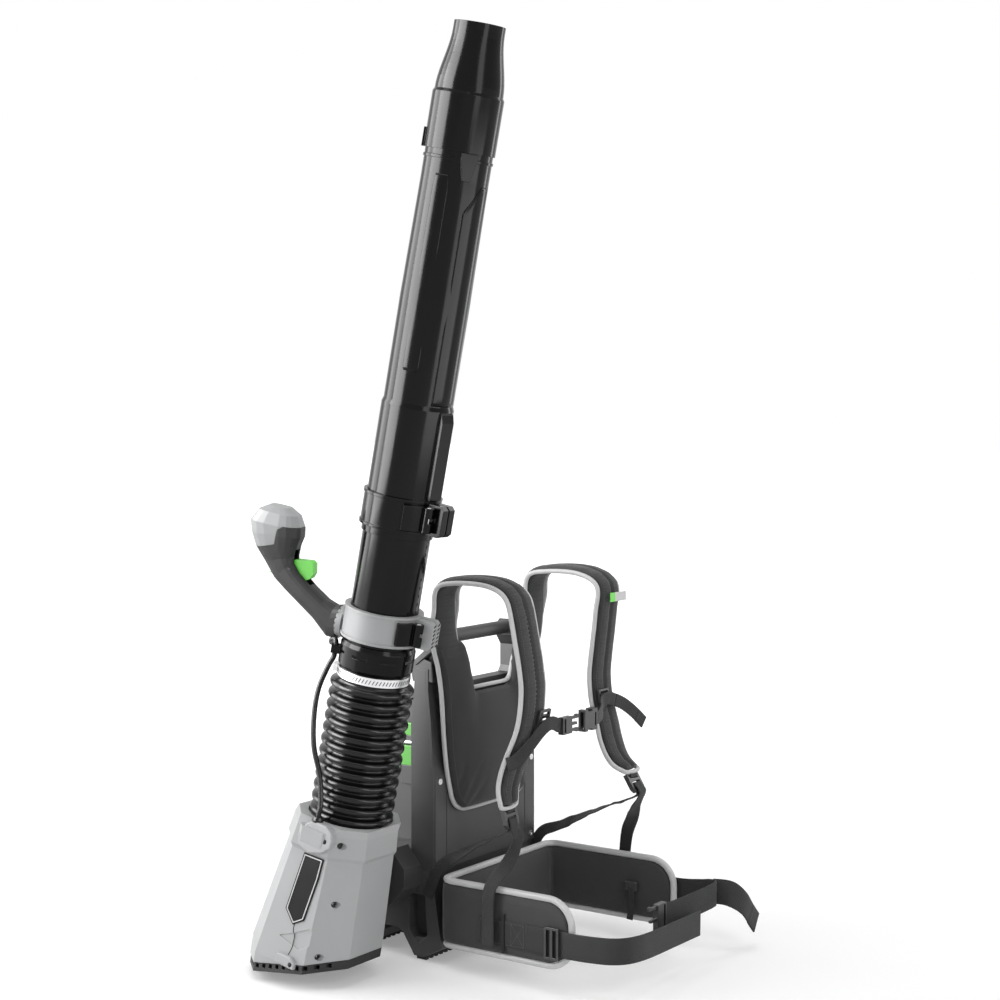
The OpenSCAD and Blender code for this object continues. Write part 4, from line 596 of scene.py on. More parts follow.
def buildHarnessPad(h):
    inset = h["inset"]
    def padSpot(a, b, y):
        s = 2 * a - 1
        c = max(0.0, min(1.0, (abs(s) - 0.42) / 0.13))      # from the neck to the wings
        top = h["neck"] + (h["top"] - h["neck"]) * c * c * (3 - 2 * c)
        foot = h["foot"] + inset
        z = foot + b * (0.4 + 0.6 * b) * (top - inset * (1 if abs(s) < 0.48 else -1.5) - foot)
        return atPack(s * (between(h["edge"], z) - inset), y, z)
    def front(a, b):
        return padSpot(a, b, -0.4 - h["edgeDeep"] - h["crown"] * swell(a) * swell(b))
    straps = [strapRows(h, side) for side in (-1, 1)]
    shells = [cushion(36, 24, front, lambda a, b: padSpot(a, b, -0.6))] + [strapShell(h, rows) for rows in straps]
    right, left = (rimHalf(h, side, rows) for side, rows in zip((-1, 1), straps))
    channels = [strapChannel(h, rows) for rows in straps]
    loop = right + [atPack(0, h["padY"] + h["rimBack"], 404)] + left[::-1][:-1]
    loop = evenly(eased(loop, 6, True), 0.004, True)
    seams = loop + [p - n * 0.001 for c in channels for p, n in c]
    def offPanel(rest):
        wing = rest[:, 2] < 0.50
        rest[wing, 1] = np.minimum(rest[wing, 1], (-0.5 - panelFace) / 1000)
        return rest
    pad = puffUp("harnessPad", shells, seams, "padCloth", offPanel)
    pressLines(pad, channels, *h["channel"])
    tracks = []     # the weave runs along the straps and up the pad
    for rows in straps:
        line = evenly(eased([atPack(*m) for m, _ in rows], 4), 0.006)
        far = 0.44
        for i, p in enumerate(line):
            far += (p - line[i - 1]).length if i else 0.0
            tracks.append((p, far))
    tree = treeOf([p for p, far in tracks])
    def lay(p):
        if p.z < 0.46 and p.y > -0.09:
            return p.x, p.z
        return p.x, tracks[tree.find((math.copysign(0.119, p.x), p.y, p.z))[1]][1]
    layWeave(pad, lay)
    placed(pad, "backpack", "pad_fabric", "back_pad", "shoulder_strap_right", "shoulder_strap_left")
    sides = []      # along X on the straps, within the panel's plane on the pad
    for i, p in enumerate(loop):
        way = wayAt(loop, i, True)
        face = Vector((0, -1, 0)) if onBackPad(p) else Vector((1, 0, 0)).cross(way)
        sides.append(way.cross(face) if onBackPad(p) or face.length < 0.5 else Vector((1, 0, 0)))
    binding("harnessBinding", loop, sides, h["rim"])
    return pad, loop, channels

harnessPad, harnessRim, harnessChannels = buildHarnessPad(harness)
print("harness pad sewn")

# Waist belt: back part and both wings in one
belt = {"half": 126.0, "bend": 24.0, "straight": 213.0, "back": -15.0, "low": 34.0, "tall": 102.0, "round": 42.0,
        "edgeDeep": 12.0, "crown": 8.0, "width": 150.0, "inset": 7.0, "rim": (4.6, 5.0), "rimIn": 3.0,
        "fold": (0.006, 0.0028), "foldZ": (44, 128), "slack": 0.4}
beltArc = belt["bend"] * math.pi / 2
beltReach = belt["half"] + beltArc + belt["straight"]
beltMiddle = belt["low"] + belt["tall"] / 2

def beltPlan(b, s, t):      # s from the middle of the back, t inwards from the outer face
    g = min(math.pi / 2, max(0.0, (abs(s) - b["half"]) / b["bend"]))
    r = b["bend"] - t
    x, y = b["half"] + r * math.sin(g), b["back"] - b["bend"] + r * math.cos(g)
    if abs(s) <= b["half"]:
        x = abs(s)
    return math.copysign(x, s), y - max(0.0, abs(s) - b["half"] - beltArc)

def beltTurn(b, p):     # how far round the corner a point is, from the back part to a wing
    x, y = abs(p.x) * 1000 - b["half"], p.y * 1000 + panelFace - (b["back"] - b["bend"])
    return 0.0 if x < 0 else math.atan2(x, y) if y > 0 else math.pi / 2

def beltHalfTall(b, s, inset):
    d = abs(s) - (beltReach - b["round"])
    full, r = b["tall"] / 2 - inset, b["round"] - inset
    return full if d <= 0 else full - r + math.sqrt(max(0.0, r * r - min(d, r) ** 2))

def beltLoop(b):        # the binding's line
    steps, along = 60, beltReach - b["round"]
    top = []
    for k in range(steps * 2 + 1):
        x, y = beltPlan(b, along * (k / steps - 1), b["edgeDeep"] / 2)
        top.append(atPack(x, y, b["low"] + b["tall"] - b["rimIn"]))
    ends = []
    for g in range(10, 180, 10):
        c, s = compass(g)
        tall = (b["tall"] / 2 - b["round"]) * (1 if g < 90 else -1) + (b["round"] - b["rimIn"]) * c if g != 90 else 0.0
        x, y = beltPlan(b, along + (b["round"] - b["rimIn"]) * s, b["edgeDeep"] / 2)
        ends.append((x, y, beltMiddle + tall))
    foot = [Vector((p.x, p.y, 2 * beltMiddle / 1000 - p.z)) for p in top][::-1]
    rim = top + [atPack(*e) for e in ends] + foot + [atPack(-x, y, z) for x, y, z in ends[::-1]]
    return evenly(eased(rim, 3, True), 0.004, True)

def buildBelt(b):
    def spot(a, c, t):
        g = 2 * a - 1
        s = (beltReach - b["inset"]) * math.copysign(1 - (1 - abs(g)) ** 1.25, g)
        x, y = beltPlan(b, s, t)
        return atPack(x, y, beltMiddle + (2 * c - 1) * beltHalfTall(b, s, b["inset"]))
    def front(a, c):
        return spot(a, c, b["edgeDeep"] - 0.5 + b["crown"] * swell(a) * swell(c))
    def back(a, c):
        return spot(a, c, 0.4 if abs(2 * a - 1) < 0.3 else 0.4 - 1.6 * swell(c) * swell(a))
    loop = beltLoop(b)
    def flatOutside(rest):      # the outer face stays flat where the webbing lies
        wide, corner, turn = (v / 1000 for v in (b["width"] + b["slack"], b["half"], b["bend"] + b["slack"]))
        middleY = (b["back"] - b["bend"] - panelFace) / 1000
        for p in rest:
            x = abs(p[0])
            far = math.hypot(x - corner, p[1] - middleY)
            if p[1] <= middleY:
                p[0] = math.copysign(min(x, wide), p[0])
            elif x <= corner:
                p[1] = min(p[1], middleY + turn)
            elif far > turn:
                p[0] = math.copysign(corner + (x - corner) * turn / far, p[0])
                p[1] = middleY + (p[1] - middleY) * turn / far
        return rest
    pad = puffUp("beltPad", [cushion(96, 16, front, back)], loop, "padCloth", flatOutside)
    def lay(p):
        g = beltTurn(b, p)
        s = min(abs(p.x) * 1000, b["half"]) + b["bend"] * g
        if g == math.pi / 2:
            s += b["back"] - b["bend"] - (p.y * 1000 + panelFace)
        return math.copysign(s / 1000, p.x), p.z
    layWeave(pad, lay)
    folds = []      # where the wings leave the back part
    for side in (-1, 1):
        x, y = beltPlan(b, side * (b["half"] + beltArc * 0.5), b["edgeDeep"] + b["crown"])
        n = Vector((-side, -1, 0)).normalized()
        folds.append([(atPack(x, y, z), n) for z in range(*b["foldZ"], 2)])
    pressLines(pad, folds, *b["fold"])
    placed(pad, "backpack", "pad_fabric", "belt_back_pad", "belt_wing_right", "belt_wing_left")
    sides = []
    for i, p in enumerate(loop):
        g = beltTurn(b, p)
        inward = Vector((-math.copysign(math.sin(g), p.x), -math.cos(g), 0))
        sides.append(wayAt(loop, i, True).cross(inward))
    binding("beltBinding", loop, sides, b["rim"])

buildBelt(belt)
print("belt sewn")

def joinPieces(name, pieces):
    work = bmesh.new()
    slots = []
    for piece in pieces:
        start = len(work.faces)
        slots += [material for material in piece.data.materials if material not in slots]
        shift = [slots.index(material) for material in piece.data.materials]
        work.from_mesh(piece.data)
        work.faces.ensure_lookup_table()
        for face in work.faces[start:]:
            face.material_index = shift[min(face.material_index, len(shift) - 1)]
    mesh = bpy.data.meshes.new(name)
    work.to_mesh(mesh)
    work.free()
    for material in slots:
        mesh.materials.append(material)
    for piece in pieces:
        old = piece.data
        bpy.data.objects.remove(piece)
        bpy.data.meshes.remove(old)
    return linked(name, mesh)

# Webbing: each run has its path and the direction across it at each point, or one for all
lockRight, lockLeft = ((-124, -129, 235), -14), ((124, -190.6, 252), -32)      # ladder locks' places and leans

def leaned(lock, spots):
    (x, y, z), angle = lock
    c, s = compass(angle)
    return [(x, y + b * c - h * s, z + b * s + h * c) for b, h in spots]

def lockLoop(lock, back, front):
    return leaned(lock, [(5.1, back), (5.1, 12.4), (4.2, 9.2), (0, 7.6), (-4.2, 9.2), (-5.1, 12.4), (-5.1, front)])

def lockTurn(lock):
    return leaned(lock, [(4.9, -19), (4.9, -6), (4.2, -1.8), (0, -0.6), (-4.2, -1.8), (-4.9, -6), (-4.9, -19)])

webs = {
    "strapWebRight": {"node": "strap_webbing_right", "width": 20, "runs": [
        {"path": lockLoop(lockRight, 18.6, 16.6), "across": [(1, 0, 0)]},
        {"path": [(-131.9, 16, 99), (-132.5, 6, 119), (-133.4, -12, 149), (-121, -66, 184), *lockTurn(lockRight),
                  (-119, -140, 203), (-134, -133, 172), (-153, -122, 148), (-160.6, -117, 130), (-161, -116, 95),
                  (-161, -116, 53)],
         "across": [(0, 0.62, 0.78), (0, 0.62, 0.78), (0.1, 0.66, 0.78), (1, 0.3, 0.3), *[(1, 0, 0)] * 7,
                    (1, -0.2, 0), (0.8, -0.8, 0), (0.3, -1, 0), (0, -1, 0), (0, -1, 0), (0, -1, 0)]}]},
    "strapWebLeft": {"node": "strap_webbing_left", "width": 20, "runs": [
        {"path": lockLoop(lockLeft, 15.2, 17.9), "across": [(1, 0, 0)]},
        {"path": [(131.9, 16, 99), (132.6, 6, 119), (136, -12, 150), (139, -46, 165), (131, -120, 200),
                  *lockTurn(lockLeft), (128, -190, 214), (148, -172, 190), (160.5, -155, 160), (161, -150, 110),
                  (161, -150, 66)],
         "across": [(0, 0.66, 0.75), (0, 0.66, 0.75), (0.4, 0.7, 0.7), (0.8, 0.5, 0.5), (1, 0.3, 0.2),
                    *[(1, 0, 0)] * 7, (1, -0.3, 0), (0.6, -1, 0), (0.1, -1, 0), (0, -1, 0), (0, -1, 0)]}]},
    "chestWebRight": {"node": "chest_webbing_right", "width": 20, "runs": [
        {"path": [(-151.4, -143, 318), (-148, -156.5, 324), (-132, -167.5, 343), (-114, -176.4, 364),
                  (-99, -180.2, 373), (-86, -180.8, 372), (-77, -180.4, 368), (-70, -180, 366.6)],
         "across": [(0, 0.3, 1), (-0.3, 0.3, 1), (-0.6, 0, 1), (-0.5, 0, 1), (-0.1, 0, 1), (0.1, 0, 1), (0.1, 0, 1),
                    (0, 0, 1)]}],
        "bend": {"to": "chest_buckle_male", "start": (-128, -168, 347), "end": (-72, -180, 366)}},
    "chestWebLeft": {"node": "chest_webbing_left", "width": 20, "hem": True, "runs": [
        {"path": [(23.8, -180, 365), (36, -179, 364), (66, -167, 367), (90, -152.8, 377), (110, -151.2, 381),
                  (128, -152, 376)],
         "across": [(0, 0, 1), (0, 0, 1), (-0.2, 0, 1), (-0.3, 0, 1), (0, 0, 1), (0.3, 0, 1)]},
        {"path": [(129, -152.2, 376), (150, -155, 367), (172, -160, 352), (194, -165, 333)],
         "across": [(0.3, 0, 1), (0.4, 0, 1), (0.5, 0, 1), (0.6, 0, 1)]}]},
    "waistWebRight": {"node": "waist_webbing_right", "width": 38, "runs": [
        {"path": [(-152.4, -176, 73), (-152.4, -252, 73), (-148, -288, 73), (-140, -312, 73), (-124, -328, 73),
                  (-98, -334, 72), (-60, -334, 70), (10, -332, 68), (80, -330, 66)], "across": [(0, 0, 1)]}]},
    "waistWebLeft": {"node": "waist_webbing_left", "width": 38, "hem": True, "runs": [
        {"path": [(152.5, -176, 88), (152.5, -254, 88), (158, -288, 90), (160, -304, 92), (154, -316, 93),
                  (140, -320, 93), (96, -316, 90), (48, -308, 86.4), (20.5, -303, 86)], "across": [(0, 0, 1)]},
        {"path": [(163, -306, 92), (172, -330, 90), (188, -346, 74), (203, -352, 52), (212, -355, 40)],
         "across": [(0.1, 0, 1), (0.3, 0.1, 1), (0.7, 0.2, 0.8), (0.8, 0.2, 0.6), (0.8, 0.2, 0.6)]}]},
}
webMake = {"thick": 0.0017, "gap": 0.0022, "hemLong": 0.02, "hemRows": (0.004, 0.0175),
           "hemStitch": (0.0019, 0.0006, 0.0005)}

# Section with rolled edges; past hemFrom of its length the webbing is folded double
def webSection(width, thick, hemFrom=2.0):
    half = [(-1, 0.0), (-0.985, -0.72), (-0.93, -1), (-0.5, -0.94), (0, -0.9), (0.5, -0.94), (0.93, -1), (0.985, -0.72)]
    edge = half + [(-a, -b) for a, b in half]
    def shape(t):
        tall = thick / 2 * (1.9 if t > hemFrom else 1.0)
        return [(a * width / 2, b * tall) for a, b in edge]
    return shape

def acrossLine(line, spots, ways):      # across direction of each point, from the two nearest route points
    sides = []
    for p in line:
        (da, a), (db, b) = sorted(((p - s).length, i) for i, s in enumerate(spots))[:2]
        g = da / max(da + db, 1e-9)
        sides.append((ways[a].normalized() * (1 - g) + ways[b].normalized() * g).normalized())
    for _ in range(6):
        inside = [(a + b * 2 + c).normalized() for a, b, c in zip(sides, sides[1:], sides[2:])]
        sides = [sides[0]] + inside + [sides[-1]]
    return sides

def hemStitches(line, sides, width, long):      # two rows of stitches on both faces of the folded end
    spots = []
    for at in webMake["hemRows"]:
        j = max(0, min(len(line) - 2, int(len(line) * (1 - at / long))))
        way = (line[j + 1] - line[j]).normalized()
        side = (sides[j] - way * sides[j].dot(way)).normalized()
        up = way.cross(side)
        for face in (-1, 1):
            spots += [(line[j] + side * x / 1000 + up * face * 0.0019, side, up)
                      for x in np.arange(-width / 2 + 2.5, width / 2 - 2, 2.4)]
    return spots

def layWeb(name, web):
    strips = []
    for k, run in enumerate(web["runs"]):
        spots = [atPack(*p) for p in run["path"]]
        line = evenly(eased(spots, 10), webMake["gap"])
        ways = [Vector(a) for a in run["across"]] * (len(spots) if len(run["across"]) == 1 else 1)
        sides = acrossLine(line, spots, ways)
        long = sum((b - a).length for a, b in zip(line, line[1:]))
        last = web.get("hem") and k == len(web["runs"]) - 1
        section = webSection(web["width"] / 1000, webMake["thick"], 1 - webMake["hemLong"] / long if last else 2.0)
        strips.append(sweepPiece(name + str(k), line, sides, section, "webbingCloth"))
        if last:
            edge = hemStitches(line, sides, web["width"], long)
            strips.append(repeated(name + "Stitches", edge, webMake["hemStitch"], "Bead", "threadGrey"))
    piece = smoothed(joinPieces(name, strips))
    if "bend" in web:
        b = web["bend"]
        atPack(*b["start"])
        atPack(*b["end"])
        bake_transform(piece)
    else:
        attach(piece, "backpack")
    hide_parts(web["node"])

for name, web in webs.items():
    layWeb(name, web)
print("webbing laid:", len(webs))

# One row of stitches just inside the harness binding, on the side that faces out
seamwork = {"gap": 0.0036, "stitch": (0.0022, 0.0007, 0.0006), "inset": 0.0085, "cord": 0.0015,
            "strapMiddle": (-0.11, 0.43)}

def harnessInward(p, way, s):       # directions into the cloth and out of its face
    onPad = onBackPad(p)
    out = Vector((0, -1, 0)) if onPad else upFrom(way)
    if not onPad and out.dot(p - Vector((p.x, *s["strapMiddle"]))) < 0:
        out = -out
    inward = way.cross(out)
    middle = Vector((0, p.y, 0.33)) if onPad else Vector((math.copysign(0.119, p.x), p.y, p.z))
    return (inward if inward.dot(middle - p) > 0 else -inward), out

def surfaceOf(piece):
    return BVHTree.FromObject(piece, bpy.context.evaluated_depsgraph_get())

def sewHarness(s):
    surface = surfaceOf(harnessPad)
    spots = []
    row = evenly(harnessRim, s["gap"], True)
    for a, b in zip(row, row[1:]):
        way, middle = (b - a).normalized(), (a + b) / 2
        inward, out = harnessInward(middle, way, s)
        hit, normal, _, _ = surface.ray_cast(middle + inward * s["inset"] + out * 0.05, -out, 0.08)
        if hit:
            spots.append((hit + normal * 0.0001, way, normal))
    placed(repeated("harnessStitches", spots, s["stitch"], "Bead", "threadGrey"), "backpack", "pad_fabric")
    surface = surfaceOf(harnessPad)
    grooveShadeCords = []
    # The near-black cord stands in for the shade inside each strap's groove: painted shade.
    for k, line in enumerate(harnessChannels):      # a dark cord in each strap's groove
        path = []
        for spot, out in line[::2]:
            hit, normal, _, _ = surface.ray_cast(spot + out * 0.02, -out, 0.05)
            if hit:
                path.append(hit - normal * s["cord"] * 0.4)
        grooveShadeCords.append(roundLine("harnessGrooveShadeCord" + str(k), path, (1, 0, 0), s["cord"] * 1000, 8, "seamAndShadeBlack"))
    placed(joinPieces("harnessGrooveShadeCord", grooveShadeCords), "backpack", "pad_fabric")

sewHarness(seamwork)
print("seams sewn")

# Band sewn on the right wing, with a boxed cross and a keeper loop
wingBand = {"x": -151.5, "y": (-92, -206), "z": 73, "width": 38, "cross": (-150, -172), "loop": (-134, -139),
            "loopTall": 58, "gap": 0.0034, "hem": 3}

def addWingBand(b):
    (start, end), x, z = b["y"], b["x"], b["z"]
    line = [atPack(x, start + (end - start) * k / 40, z) for k in range(41)]
    section = webSection(b["width"] / 1000, 0.0014)(0)
    cloths = [sweepPiece("wingBandCloth", line, [Vector((0, 0, 1))] * 41, section, "webbingCloth")]
    keeper = [atPack(x - 1.1 - 0.5 * math.sin(math.pi * k / 20), sum(b["loop"]) / 2,
                     z - b["loopTall"] / 2 + b["loopTall"] * k / 20) for k in range(21)]
    section = webSection((b["loop"][0] - b["loop"][1]) / 1000, 0.0012)(0)
    cloths.append(sweepPiece("wingKeeperCloth", keeper, [Vector((0, 1, 0))] * 21, section, "seamAndShadeBlack"))
    low, high = z - b["width"] / 2 + b["hem"], z + b["width"] / 2 - b["hem"]
    (near, far), edge = b["cross"], start - b["hem"]
    corners = [(near, low), (near, high), (far, high), (far, low)]
    rows = list(zip(corners, corners[1:] + corners[:1])) + [((near, low), (far, high)), ((near, high), (far, low)),
            ((edge, low), (edge, high)), ((edge, low), (near, low)), ((edge, high), (near, high))]
    spots = []
    for ends in rows:
        path = evenly([atPack(x - 0.75, y, up) for y, up in ends], b["gap"])
        spots += [((a + c) / 2, (c - a).normalized(), Vector((-1, 0, 0))) for a, c in zip(path, path[1:])]
    cloths.append(repeated("wingBandSewn", spots, seamwork["stitch"], "Bead", "threadGrey"))
    placed(smoothed(joinPieces("wingBand", cloths)), "backpack", "webbing")

addWingBand(wingBand)
print("belt trimmed")

# Hose: a ribbed outline turned about the tube's axis
bellows = {"ribs": 12, "foot": 108.0, "pitch": 17.3, "root": 51.35, "crest": 60.85, "bore": 48.4, "cuff": 18.0,
           "steps": 12, "turns": 88, "rib": (0.15, 0.70), "valleys": [(0.93, 0.6), (1.0, 0.3)], "hold": 8}

def buildHose(h):
    foot, root, pitch = h["foot"], h["root"], h["pitch"]
    outline = [(h["bore"], foot), (root, foot)]
    for k in range(h["ribs"]):
        for i in range(1, h["steps"]):
            g = i / h["steps"]
            crest = max(0.0, 1 - abs(2 * g - 1) ** 2.4) ** 0.5
            outline.append((root + (h["crest"] - root) * crest, foot + (k + h["rib"][0] + h["rib"][1] * g) * pitch))
        outline += [(root - deep, foot + (k + at) * pitch) for at, deep in h["valleys"]]
    top = foot + h["ribs"] * pitch
    outline += [(root, top + 1), (root, top + h["cuff"]), (h["bore"], top + h["cuff"])]
    points = [onTube(360 * k / h["turns"], u, r) for r, u in outline for k in range(h["turns"])]
    hose = newPiece("hoseBellows", points, tubeFaces(len(outline), h["turns"], True), "hoseRubber")
    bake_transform(hose)
    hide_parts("hose")

buildHose(bellows)

# Throttle cable: (radius, turn, height) about the tube's axis, in two lengths that meet at the collar's clip
cable = {"radius": 3.75, "clip": 10, "steps": 8, "route": [
    (75, 180, 106), (75, 180, 123.5), (71.6, 178, 142), (68, 166, 176), (73, 149, 212), (76, 138, 252), (75, 132, 290),
    (67, 127.5, 322), (61, 125, 338), (60.2, 125, 345), (60.2, 125, 352), (60.2, 125, 359), (63.1, 121.8, 364.2),
    (68.8, 116.1, 360.3), (71, 109.3, 354.4), (71.5, 105.5, 355.6), (71.5, 105, 359.9)]}

def buildCable(c):
    line = eased([onTube(turn, u, r) for r, turn, u in c["route"]], c["steps"])
    split = c["clip"] * c["steps"]
    for name, part, bodies, first in (("throttleCableLower", line[:split + 1], ("fan_unit", "tube"), 10),
                                      ("throttleCableUpper", line[split:], ("tube", "handle_mount"), 6)):
        piece = roundLine(name, part, (1, 0.3, 0.1), c["radius"], 14, "hoseRubber")
        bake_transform(piece)
        if name == "throttleCableLower":
            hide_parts("throttle_cable")

buildCable(cable)

# Slots of the worm-drive band on the hose cuff
band = {"radius": 52.68, "u": 318.6, "wide": 12.0, "slots": 66, "slot": (0.0064, 0.0011, 0.0005), "lean": 24,
        "gap": (100, 136)}

def addBandSlots(b):
    along, across = compass(b["lean"])
    spots = []
    for k in range(b["slots"]):
        turn = 360 * k / b["slots"]
        if not b["gap"][0] < turn < b["gap"][1]:
            c, s = compass(turn)
            out, around, up = (leanTurn @ Vector(v) for v in ((c, s, 0), (-s, c, 0), (0, 0, 1)))
            spots.append((onTube(turn, b["u"] + b["wide"] / 2, b["radius"]), up * along + around * across, out))
    placed(repeated("hoseBandSlots", spots, b["slot"], "Block", "seamAndShadeBlack", False), "tube", "bright_steel")

addBandSlots(band)
print("hose and cable made")

# Plates: a flat outline (a, b) in millimetres from low to high along the third axis
def plate(name, outline, low, high, place, finish, body, slotName, bevel=0.0):
    n = len(outline)
    points = [place(a, b, h) for h in (low, high) for a, b in outline]
    faces = [tuple(range(n)), tuple(range(n, 2 * n))] + [(i, (i + 1) % n, n + (i + 1) % n, n + i) for i in range(n)]
    piece = newPiece(name, points, faces, finish, False)
    if bevel:
        soft = piece.modifiers.new("softEdges", "BEVEL")
        soft.width, soft.segments, soft.limit_method, soft.angle_limit = bevel / 1000, 3, "ANGLE", math.radians(35)
        smoothed(settle(piece), False)
    return placed(piece, body, slotName)

def rectangle(x0, x1, y0, y1):
    return [(x0, y0), (x1, y0), (x1, y1), (x0, y1)]

def drawnIn(outline, d):        # outline moved inwards by d
    n, out = len(outline), []
    area = sum(a[0] * b[1] - b[0] * a[1] for a, b in zip(outline, outline[1:] + outline[:1]))
    turn = 1 if area > 0 else -1
    for i in range(n):
        a, b, c = (Vector(outline[j % n]) for j in (i - 1, i, i + 1))
        u, v = (b - a).normalized(), (c - b).normalized()
        nu, nv = Vector((-u.y, u.x)) * turn, Vector((-v.y, v.x)) * turn
        out.append(tuple(b + (nu + nv) * d / (1 + nu.dot(nv))))
    return out

sideTurn = Matrix.Rotation(math.radians(6.53), 3, "Y")
sideFoot = Vector((-78, 0, 66))

def onOuterSide(a, b, h):       # (a, b) lie in the housing's outer face, h stands out from it
    return atBlower(*(sideFoot + sideTurn @ Vector((-h, a, b))))

badge = {"outline": [(11, -1.5), (-25, 0), (-24, -30), (-15.5, -94), (2, -106), (21, -88)], "rim": (2.0, 3.5),
         "rimHigh": (1.6, 2.3), "faceIn": 3.2, "faceHigh": (0.2, 1.75)}

def addBadge(b):
    outer, inner = (drawnIn(b["outline"], d) for d in b["rim"])
    low, high = b["rimHigh"]
    rings = ((outer, low), (outer, high), (inner, high), (inner, low))
    points = [onOuterSide(x, y, h) for ring, h in rings for x, y in ring]
    rim = newPiece("badgeRim", points, tubeFaces(4, len(outer), True), "badgeRim", False)
    placed(rim, "fan_unit", "shell_grey")

addBadge(badge)

def tubeLine(name, line, radius, finish, body, slotName):       # round line through the points
    side = (line[-1] - line[0]).normalized().cross(Vector((0.3, 0.2, 0.9))).normalized()
    placed(roundLine(name, line, side, radius, 8, finish), body, slotName)

# Seams, gland block and small clip on the housing's outer face, with near-black discs painted as the shade in their
# holes
shellTrim = {"seams": {"shellSeamLow": [(0.2, -104), (-0.3, -113.9), (-4.4, -120), (-5.2, -130), (-5.0, -138.5),
                                        (-1.3, -151), (-0.1, -158)],
                       "shellSeamTop": [(0.5, 50), (1.5, 58), (1.0, 66)]}, "cord": 0.55, "cordHigh": 0.05,
             "block": [(20, 8), (24, 22), (15, 40), (4, 49), (-22, 49), (-35, 41), (-38, 30), (-36, 20), (-24, 10),
                       (-2, 2)], "blockHigh": (-2.0, 10.5), "blockBevel": 2.2, "blockHole": (-25.8, 27.5),
             "clip": [(15, -151), (-10, -150), (-19, -157), (-19, -166), (15, -166)], "clipHigh": (-1.0, 6.5),
             "clipBevel": 1.6, "clipHole": (-12.5, -160), "hole": (0.0068, 0.0068, 0.0004)}

def addShellTrim(s):
    for name, spots in s["seams"].items():
        line = eased([onOuterSide(a, b, s["cordHigh"]) for a, b in spots], 6)
        tubeLine(name, line, s["cord"], "seamAndShadeBlack", "fan_unit", "shell_grey")
    holeShadeDiscs = []
    for name, part in (("glandBlock", "block"), ("shellClip", "clip")):
        low, high = s[part + "High"]
        plate(name, s[part], low, high, onOuterSide, "shellGrey", "fan_unit", "shell_grey", s[part + "Bevel"])
        (a, b), foot = s[part + "Hole"], onOuterSide(*s[part + "Hole"], high)
        holeShadeDiscs.append((onOuterSide(a, b, high + 0.02), onOuterSide(a + 1, b, high) - foot,
                      onOuterSide(a, b, high + 1) - foot))
    # Near-black discs on the holes: painted shade of the recesses.
    placed(repeated("shellHoleShades", holeShadeDiscs, s["hole"], "Disc", "seamAndShadeBlack"), "fan_unit", "shell_grey")

addShellTrim(shellTrim)
plate("badgeFace", drawnIn(badge["outline"], badge["faceIn"]), *badge["faceHigh"], onOuterSide, "badgeBlack",
      "fan_unit", "shell_grey")

# Raised panels on the outer tube: the flat narrows towards both ends, the ridge towards its top
tubeRadius = [(715.6, 49.15), (1029.6, 47.0), (1068.6, 47.0)]
tubePanels = {"tubeFlat": {"turns": (-180, -152), "u": (766, 1036), "cut": (17.6, 4.8), "least": 0.82, "proud": 0.9},
              "tubeRidge": {"turns": (-64, -122), "u": (723, 1027), "cut": (38.5, 0.0), "least": 0.45, "proud": 1.3}}

def addTubePanel(name, p):
    (t0, t1), (u0, u1), (topCut, footCut) = p["turns"], p["u"], p["cut"]
    def spot(a, b, high):
        u = u0 + (u1 - u0) * b
        near = min(1.0, (u1 - u) / topCut, (u - u0) / footCut if footCut else 1.0)
        if name == "tubeFlat":
            turn = t0 + (t1 - t0) * (0.5 + (a - 0.5) * (p["least"] + (1 - p["least"]) * near))
        else:
            turn = t0 + (t1 - t0) * (1 - a) * (p["least"] + (1 - p["least"]) * near)
        return onTube(turn, u, between(tubeRadius, u) + high)
    def front(a, b):
        return spot(a, b, p["proud"] * (0.55 + 0.45 * min(1.0, 6 * a, 6 * (1 - a), 30 * b, 30 * (1 - b))))
    points, faces = cushion(18, 60, front, lambda a, b: spot(a, b, -0.4))
    placed(newPiece(name, points, faces, "tubeBlack"), "outer_tube", "tube_plastic")

for name, panel in tubePanels.items():
    addTubePanel(name, panel)

# Teeth beside the handle clamp's gap
clampTeeth = {"turn": 15, "x": 7.5, "y": -83.1, "u": (385, 415), "count": 6, "size": (0.0068, 0.0024, 0.0006)}

def addClampTeeth(t):
    c, s = compass(t["turn"])
    u0, u1 = t["u"]
    spots = []
    for x in (-t["x"], t["x"]):
        for k in range(t["count"]):
            place = atBlower(x * c - t["y"] * s, x * s + t["y"] * c, u0 + (u1 - u0) * k / (t["count"] - 1))
            spots.append((place, leanTurn @ Vector((c, s, 0.35)).normalized(), leanTurn @ Vector((s, -c, 0))))
    placed(repeated("clampTeeth", spots, t["size"], "Block", "seamAndShadeBlack", False), "handle_mount", "shell_grey")

addClampTeeth(clampTeeth)
print("blower trimmed")

# The latch has a green upper half, and the pack a green stripe above its pin
latch = {"greenTall": 31, "thick": 6.5, "inset": 0.4, "stripe": (15, 34), "stripeFoot": (1.5, 15), "stripeOut": 8.5,
         "pin": 2.6, "pinUp": 5}

